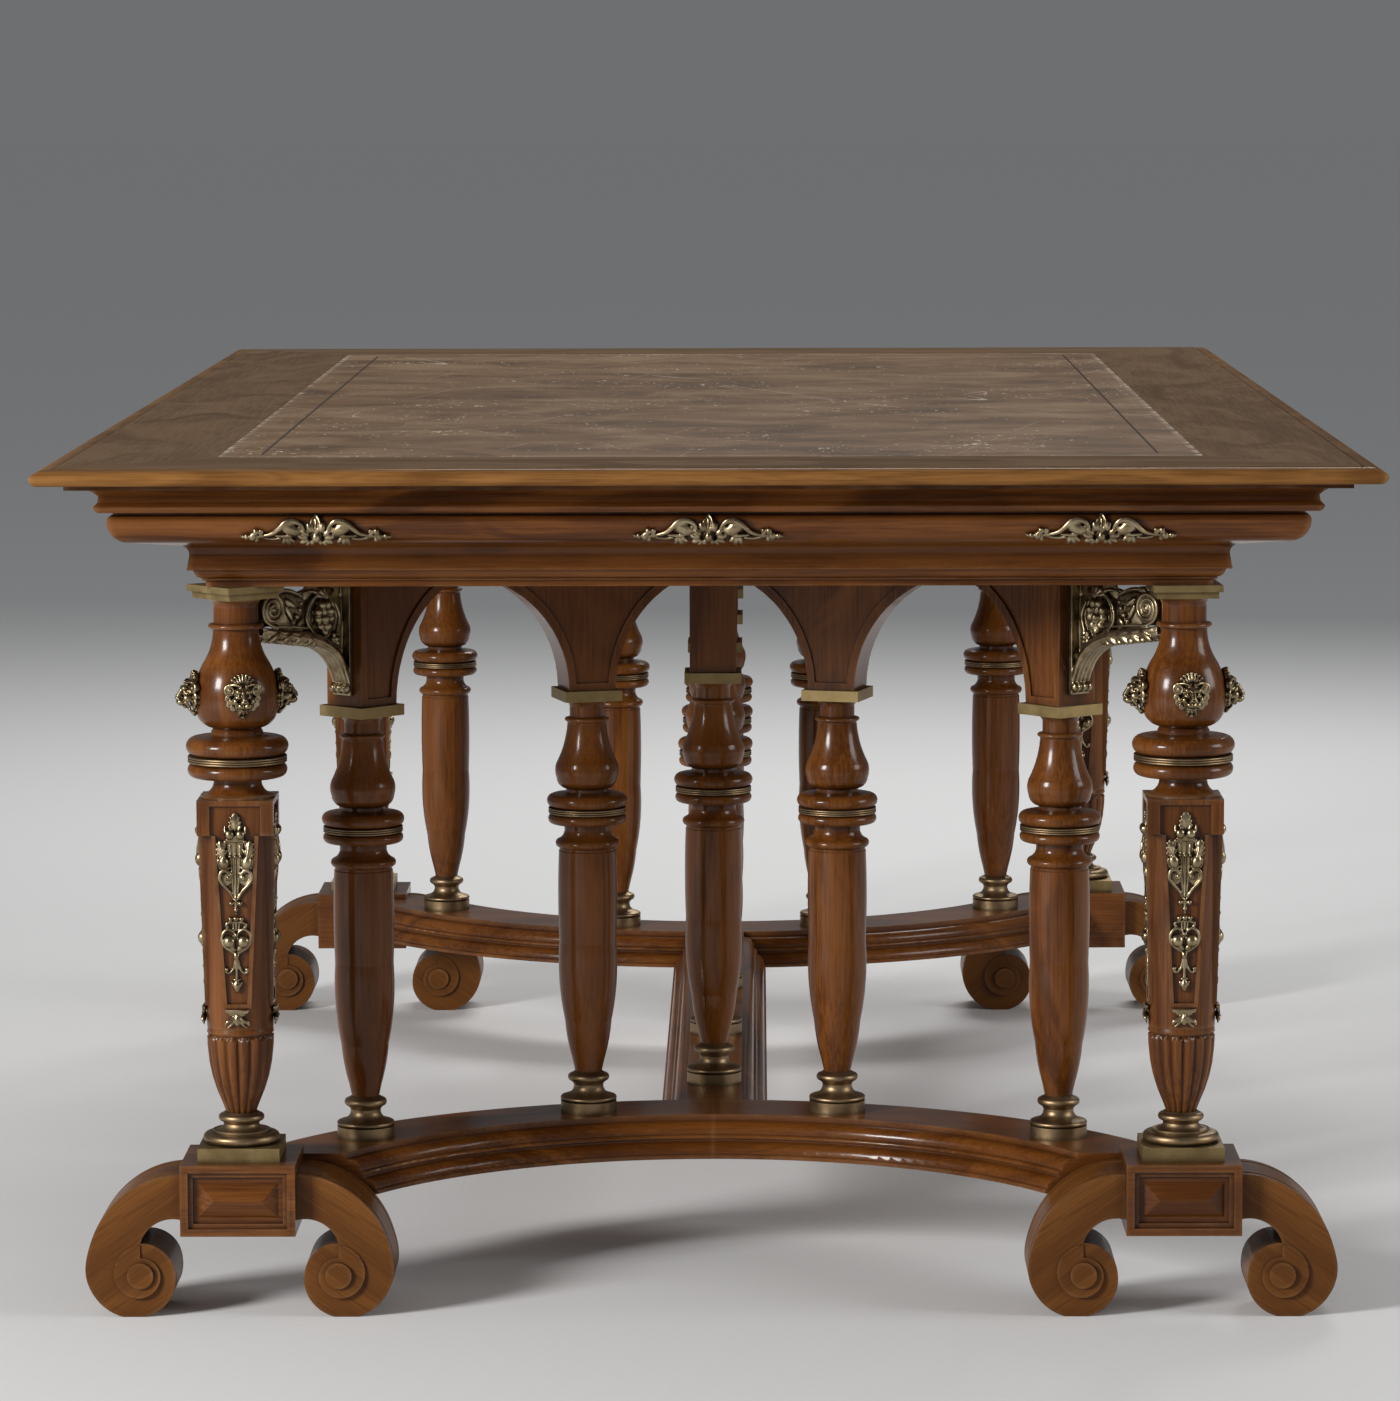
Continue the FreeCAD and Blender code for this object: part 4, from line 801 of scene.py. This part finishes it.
# Scroll bracket: u from the springer to the leg, v up from its foot, w across its thickness
def bracket_pattern(height):
    half = 11.0
    ride = [(1.5, 4), (6, 22), (17, 40), (34, 51), (54, 57), (82, 60), (114, 67)]
    depth = (2.6, 3.4, 4.4, 5.0, 5.2, 4.8, 3.6)
    line = (1.0, 1.2, 1.3, 1.3, 1.2, 1.1, 1.0)
    volute = (99.5, 86.0)
    volute_round = 15.4
    leaf_foot = Vector((28.0, 91.0))
    rosette = Vector((15.5, 53.0))
    petal_reach = 4.6
    parts = [
        taper(2.2, height / 2, 0, 2.2, 2.2, height, half),
        disc(*volute, 0, volute_round, 8.6),
    ]
    for w in (-7.5, -2.5, 2.5, 7.5):
        parts.append(strand([(u, v, w) for u, v in ride], depth))
    parts += [
        lobe(62, 76, 0, (27, 17, 2.4)),
        lobe(22, 76, 0, (20, 25, 2.4)),
        lobe(30, 96, 0, (26, 13, 2.2)),
        taper(7, 48, 0, 4.0, 8.0, 40, 2.2),
        lobe(74, 90, 0, (22, 10, 2.4)),
    ]
    for w in (-7, 0, 7):
        parts.append(ball(6.0, 6.8, w, 4.8))
    for face in (-1, 1):
        rim = face * (half - 1.2)
        for edge in (-0.92, 0.0, 0.92):
            parts.append(strand([(u, v + d * edge, rim) for (u, v), d in zip(ride, depth)], line))
        for step in range(4):
            u = 55 + 15.0 * step
            v = 55.4 + 2.2 * step
            parts += [
                lobe(u, v - 1.0, face * (half - 0.8), (3.4, 9.6, 2.8), 62),
                lobe(u - 5.6, v - 4.8, face * (half - 1.6), (2.6, 4.4, 2.6), 74),
                lobe(u + 2.5, v + 4.4, face * (half - 1.0), (2.0, 8.4, 2.0), 96),
            ]
        parts += [
            strand([(56, 66, rim), (74, 68.6, rim), (90, 70.0, rim), (101, 70.4, rim)],
                   (1.0, 1.4, 1.5, 1.5)),
            curl(*volute, face * 9.4, volute_round, 2.8, -90, 1, 1.6, 0.75),
            ball(*volute, face * 8.6, 3.0),
            curl(5.6, 6.6, rim, 4.6, 1.6, 200, -1, 1.2, 0.7),
        ]
        grape_frame = [(42, 58), (52, 66), (54, 78), (48, 90), (36, 98)]
        parts += [
            strand([(u, v, face * 4.8) for u, v in grape_frame], (2.2, 2.1, 1.9, 1.6, 1.0)),
            strand([(u - 4.2, v, face * 3.6) for u, v in grape_frame], (1.2, 1.2, 1.1, 0.9, 0.7)),
        ]
        for row, (v, count) in enumerate(((85.5, 2), (79.4, 3), (72.6, 3), (66.0, 2), (60.4, 1))):
            for step in range(count):
                u = 30.5 + 8.0 * (step - (count - 1) / 2) + 1.2 * (row % 2)
                parts.append(ball(u, v, face * (4.4 + 1.8 * ((row + step) % 2)), 4.5))
        for turn, reach in ((-66, 13.0), (-30, 11.4), (4, 10.6), (40, 11.4), (74, 12.0)):
            way = Vector((math.sin(math.radians(turn)), math.cos(math.radians(turn)))) * reach
            tip = leaf_foot + way
            rib = leaf_foot + way * 0.55
            parts += [
                lobe(rib.x, rib.y, face * 2.6, (3.2, reach * 0.52, 2.2), -turn),
                strand([(*leaf_foot, face * 4.8), (rib.x, rib.y, face * 5.2), (tip.x, tip.y, face * 3.2)],
                       (1.0, 1.0, 0.5)),
            ]
        for points in ([(14, 58), (9.4, 68), (10.5, 78), (16, 86)], [(40, 97), (50, 100), (60, 96)]):
            radii = [1.8] * (len(points) - 1) + [0.8]
            parts.append(strand([(u, v, face * 3.6) for u, v in points], radii))
        parts.append(ball(*rosette, face * 5.0, 2.9))
        for step in range(6):
            angle = math.tau * step / 6
            petal = rosette + Vector((math.cos(angle), math.sin(angle))) * petal_reach
            parts.append(ball(*petal, face * 3.8, 2.4))
        parts += [
            curl(10.5, 41.5, face * 4.6, 4.4, 1.3, 60, -1, 1.4, 0.6),
            strand([(12, 34, face * 3.0), (8, 28, face * 3.4), (8.2, 21, face * 2.6)], (1.6, 1.5, 0.8)),
        ]
        for u, v, radius in ((66, 77, 2.9), (71, 72.0, 2.5), (62.0, 83.0, 2.3), (60, 88.5, 1.9)):
            parts.append(ball(u, v, face * 4.8, radius))
        for u, v, turn, size in ((75, 81, -30, 8.6), (73, 89, -58, 8.0), (61, 71, 40, 6.4)):
            parts.append(lobe(u, v, face * 3.4, (3.0, size, 2.6), turn))
        parts.append(strand([(57, 94, face * 4.4), (70, 100, face * 5.0), (84, 102.4, face * 6.6),
                             (97, 102.0, face * 8.4)], (1.2, 1.9, 2.0, 1.8)))
    return cast("bracket_pattern", parts, voxel=0.6, keep=0.24)


# Places read from the frame, in metres
corners = ("front_left", "front_right", "back_left", "back_right")
leg_places = {}
for corner in corners:
    low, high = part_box("leg_vase_" + corner)
    leg_places[corner] = (low + high) / 2
vase_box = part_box("leg_vase_front_left")
herm_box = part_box("leg_herm_front_left")
cup_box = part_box("leg_cups")
leather_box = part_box("leather_inset")
frieze_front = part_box("frieze_rail_front")
frieze_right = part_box("frieze_rail_right")
bracket_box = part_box("scroll_brackets")

# Sizes of the mounts' seats, in metres
knuckle_height = 0.062
vase_round = 0.0376
mask_depth = 1.22
mask_wrap = 1.7
mask_rise = 0.0325
mask_seat = 0.036
mask_turns = {"front_left": 13.0, "front_right": 6.0, "back_left": 0.0, "back_right": 0.0}
cushion_round = 0.0196
cushion_axis_drop = 0.0063
cushion_start = math.radians(-36.7)
cushion_stretch = 1.1
frieze_spacing = 0.342
panel_foot = 0.0240
panel_height = 0.152
panel_seat_foot = 0.0275
panel_seat_head = 0.0310
lower_drop_rise = 0.0346
upper_drop_rise = 0.1058
bell_rise = 0.0176
bell_seat = 0.0305
springer_half = 0.02225


def outward(azimuth):
    angle = math.radians(azimuth)
    return Vector((math.sin(angle), -math.cos(angle), 0))


def along_face(azimuth):
    angle = math.radians(azimuth)
    return Vector((math.cos(angle), math.sin(angle), 0))


def at_height(place, height):
    return Vector((place.x, place.y, height))


def declare(piece, slot, *nodes):
    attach(piece, "root")
    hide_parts(*nodes)
    return piece


# Masks bent to the vase, four to a leg
def masks():
    pattern = lion_mask_pattern()
    axis_round = vase_round / mm
    for vertex in pattern.data.vertices:
        u, v, w = vertex.co
        vertex.co.z = w * mask_depth - u * u / (2 * axis_round) - v * v / (2 * mask_wrap * axis_round)
    height = vase_box[0].z + knuckle_height + mask_rise
    for corner, place in leg_places.items():
        turns = [mask_turns[corner] + 90 * step for step in range(4)]
        fixings = [fixing(turn, at_height(place, height) + outward(turn) * mask_seat) for turn in turns]
        declare(set_out("lion_masks_" + corner, pattern, fixings, gilt), "brass", "lion_masks")
    bpy.data.objects.remove(pattern)


# Frieze mounts wrapped round the cushion
def frieze_mounts():
    pattern = frieze_mount_pattern()
    axis_round = cushion_round / mm
    for vertex in pattern.data.vertices:
        u, v, w = vertex.co
        angle = cushion_start + cushion_stretch * v / axis_round
        vertex.co = (u, (axis_round + w) * math.sin(angle), (axis_round + w) * math.cos(angle))
    height = frieze_front[1].z - cushion_axis_drop
    runs = {"front": (0, -frieze_front[0].y, 3), "right": (90, frieze_right[1].x, 5),
            "back": (180, -frieze_front[0].y, 3), "left": (270, frieze_right[1].x, 5)}
    for side, (azimuth, reach, count) in runs.items():
        centre = at_height(outward(azimuth) * (reach - cushion_round), height)
        steps = [frieze_spacing * (step - (count - 1) / 2) for step in range(count)]
        fixings = [fixing(azimuth, centre + along_face(azimuth) * step) for step in steps]
        declare(set_out("frieze_mounts_" + side, pattern, fixings, gilt), "brass", "frieze_mounts")
    bpy.data.objects.remove(pattern)


# Drops and bells on the four faces of each pedestal
def pedestal_mounts():
    foot = herm_box[0].z
    slope = (panel_seat_head - panel_seat_foot) / panel_height
    lean = math.degrees(math.atan(slope))
    patterns = [(upper_drop_pattern(), upper_drop_rise, lean),
                (lower_drop_pattern(), lower_drop_rise, lean),
                (foot_bell_pattern(), bell_rise, 0.0)]
    for corner, place in leg_places.items():
        made = []
        for pattern, rise, tilt in patterns:
            seat = panel_seat_foot + slope * (rise - panel_foot) if tilt else bell_seat
            fixings = [fixing(90 * step, at_height(place, foot + rise) + outward(90 * step) * seat, tilt)
                       for step in range(4)]
            made.append(set_out("drop", pattern, fixings, gilt))
        deselect()
        for piece in made:
            piece.select_set(True)
        bpy.context.view_layer.objects.active = made[0]
        bpy.ops.object.join()
        made[0].name = "pedestal_mounts_" + corner
        declare(made[0], "brass", "herm_mounts")
    for pattern, rise, tilt in patterns:
        bpy.data.objects.remove(pattern)


# Brackets between the outer springers and the legs
def brackets():
    height = (bracket_box[1].z - bracket_box[0].z) / mm
    pattern = bracket_pattern(height)
    columns = {"front_left": "column_front_1", "front_right": "column_front_4",
               "back_right": "column_back_1", "back_left": "column_back_4"}
    for corner, column in columns.items():
        low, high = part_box(column)
        start = at_height((low + high) / 2, bracket_box[0].z)
        run = at_height(leg_places[corner], start.z) - start
        azimuth = math.degrees(math.atan2(run.y, run.x))
        fixings = [fixing(azimuth, start + run.normalized() * springer_half)]
        declare(set_out("scroll_bracket_" + corner, pattern, fixings, gilt), "brass", "scroll_brackets")
    bpy.data.objects.remove(pattern)


# Gadrooned cups
cup_ribs = 16
rib_steps = 10
cup_rows = 48
rib_sink = 0.17
rib_fullness = 0.97
rib_start = 0.45
rib_head = 0.90
rib_head_drop = 0.055
cup_lip = 0.935
cup_band_sink = 0.12
cup_seam = 0.00005
cup_outline = [(0.0, 0.45), (0.12, 0.57), (0.26, 0.72), (0.42, 0.85),
               (0.58, 0.935), (0.78, 0.99), (0.94, 1.0), (1.0, 0.97)]


def cup_radius(share):
    for (low, first), (high, second) in zip(cup_outline, cup_outline[1:]):
        if share <= high:
            step = (share - low) / (high - low)
            return first + (second - first) * step
    return cup_outline[-1][1]


def gadroon(theta, share):
    phase = (theta * cup_ribs / math.tau) % 1.0 * 2 - 1
    rounded = math.sqrt(1 - (rib_fullness * phase) ** 2)
    rib_top = rib_head - rib_head_drop * (1 - math.sqrt(1 - phase * phase))
    if share > cup_lip:
        return 0.0
    if share > rib_top:
        return cup_band_sink
    return rib_sink * (1 - rounded) * min(1.0, rib_start + share)


def cups():
    low, high = cup_box
    height = high.z - low.z
    reach = high.x - leg_places["front_right"].x
    for corner, place in leg_places.items():
        deselect()
        bpy.ops.mesh.primitive_grid_add(x_subdivisions=cup_ribs * rib_steps, y_subdivisions=cup_rows,
                                        size=2.0)
        cup = bpy.context.object
        for vertex in cup.data.vertices:
            theta = math.pi * (vertex.co.x + 1)
            share = (vertex.co.y + 1) / 2
            radius = reach * (cup_radius(share) - gadroon(theta, share))
            away = Vector((math.cos(theta), math.sin(theta), 0)) * radius
            vertex.co = at_height(place, low.z + height * share) + away
        bpy.ops.object.mode_set(mode="EDIT")
        bpy.ops.mesh.select_all(action="SELECT")
        bpy.ops.mesh.remove_doubles(threshold=cup_seam)
        bpy.ops.mesh.normals_make_consistent(inside=False)
        bpy.ops.object.mode_set(mode="OBJECT")
        bpy.ops.object.shade_smooth()
        cup.name = "gadroon_cup_" + corner
        cup.data.materials.append(upright)
        declare(cup, "walnut", "leg_cups")


# Leather: a sheet with a tooled line sunk in it
def leather_sheet():
    low, high = leather_box
    deselect()
    bpy.ops.mesh.primitive_cube_add(size=1.0)
    sheet = bpy.context.object
    sheet.data.transform(Matrix.Translation((low + high) / 2) @ Matrix.Diagonal((*(high - low), 1)))
    bpy.ops.object.mode_set(mode="EDIT")
    bpy.ops.mesh.select_all(action="DESELECT")
    bpy.ops.object.mode_set(mode="OBJECT")
    for face in sheet.data.polygons:
        face.select = face.normal.z > 0.5
    bpy.ops.object.mode_set(mode="EDIT")
    bpy.ops.mesh.select_mode(type="FACE")
    bpy.ops.mesh.inset(thickness=tooled_margin)
    bpy.ops.mesh.inset(thickness=tool_width, depth=-tool_depth)
    bpy.ops.mesh.inset(thickness=tool_width / 2)
    bpy.ops.mesh.inset(thickness=tool_width, depth=tool_depth)
    bpy.ops.object.mode_set(mode="OBJECT")
    sheet.name = "leather_sheet"
    sheet.data.materials.append(hide)
    declare(sheet, "leather", "leather_inset")


masks()
frieze_mounts()
pedestal_mounts()
brackets()
cups()
leather_sheet()


# Stage, light and camera
floor_span = 120.0
floor_rough = 0.85
floor_tooth = 90.0
floor_shade = 0.985
view_depth = 200.0
lamp_aim = (0, -0.3, 0.45)
lamps = [("key", (-3.7, -3.6, 2.0), (1.2, 1.2), 255),
         ("fill", (4.0, -1.4, 1.8), (1.6, 1.6), 65),
         ("rear", (0.6, 3.6, 3.0), (2.4, 1.2), 80)]
sky_colour = (0.80, 0.82, 0.85, 1)
sky_strength = 0.25
far_floor = (0.62, 0.635, 0.65, 1)


def floor_material():
    made, tree, shader = new_material("floor_paper")
    here = add(tree, "TexCoord").outputs["Object"]
    tooth = stretched_noise(tree, here, (1, 1, 1), floor_tooth, 3.0)
    tint = ramp(tree, tooth, [(0.3, floor_pale), (0.7, [c * floor_shade for c in floor_pale[:3]])])
    tree.links.new(tint, shader.inputs["Base Color"])
    shader.inputs["Roughness"].default_value = floor_rough
    below = add(tree, "NewGeometry").outputs["Backfacing"]
    from_below = maths(tree, "MULTIPLY", below, add(tree, "LightPath").outputs["Is Camera Ray"])
    clear = add(tree, "BsdfTransparent").outputs[0]
    seen = add(tree, "MixShader", {0: from_below, 1: shader.outputs[0], 2: clear}).outputs[0]
    tree.links.new(seen, tree.nodes["Material Output"].inputs["Surface"])
    return made


def stage_floor():
    deselect()
    bpy.ops.mesh.primitive_plane_add(size=floor_span)
    floor = bpy.context.object
    floor.name = "studio_floor"
    floor.data.materials.append(floor_material())


def soft_box(name, place, size, power):
    lamp = bpy.data.lights.new(name, "AREA")
    lamp.shape = "RECTANGLE"
    lamp.size, lamp.size_y = size
    lamp.energy = power
    holder = bpy.data.objects.new(name, lamp)
    bpy.context.scene.collection.objects.link(holder)
    holder.location = place
    holder.rotation_euler = (Vector(lamp_aim) - Vector(place)).to_track_quat("-Z", "Y").to_euler()


def light_studio():
    world = bpy.data.worlds.new("studio")
    world.use_nodes = True
    tree = world.node_tree
    tree.nodes.clear()
    rays = add(tree, "LightPath").outputs
    seen = maths(tree, "MAXIMUM", rays["Is Camera Ray"], rays["Is Glossy Ray"])
    seen = maths(tree, "MAXIMUM", seen, rays["Is Transmission Ray"])
    sky = add(tree, "Background", {"Color": sky_colour, "Strength": sky_strength}).outputs[0]
    backdrop = add(tree, "Background", {"Color": far_floor, "Strength": sky_strength}).outputs[0]
    shown = add(tree, "MixShader", {0: seen, 1: sky, 2: backdrop}).outputs[0]
    add(tree, "OutputWorld", {"Surface": shown})
    bpy.context.scene.world = world
    for lamp in lamps:
        soft_box(*lamp)


def photo_camera():
    data = bpy.data.cameras.new("photo_camera")
    data.sensor_width = sensor_width
    data.lens = photo_focal_pixels / max(photo_size) * sensor_width
    data.clip_end = view_depth
    camera = bpy.data.objects.new("photo_camera", data)
    bpy.context.scene.collection.objects.link(camera)
    level = math.cos(camera_pitch)
    forward = Vector((math.sin(camera_yaw) * level, math.cos(camera_yaw) * level, math.sin(camera_pitch)))
    right = Vector((math.cos(camera_yaw), -math.sin(camera_yaw), 0))
    above = right.cross(forward)
    turned_right = right * math.cos(camera_roll) + above * math.sin(camera_roll)
    turned_up = above * math.cos(camera_roll) - right * math.sin(camera_roll)
    axes = Matrix((turned_right, turned_up, -forward)).transposed()
    camera.matrix_world = Matrix.Translation(camera_place) @ axes.to_4x4()
    bpy.context.scene.camera = camera


stage_floor()
light_studio()
photo_camera()
bpy.context.scene.view_settings.view_transform = "Standard"
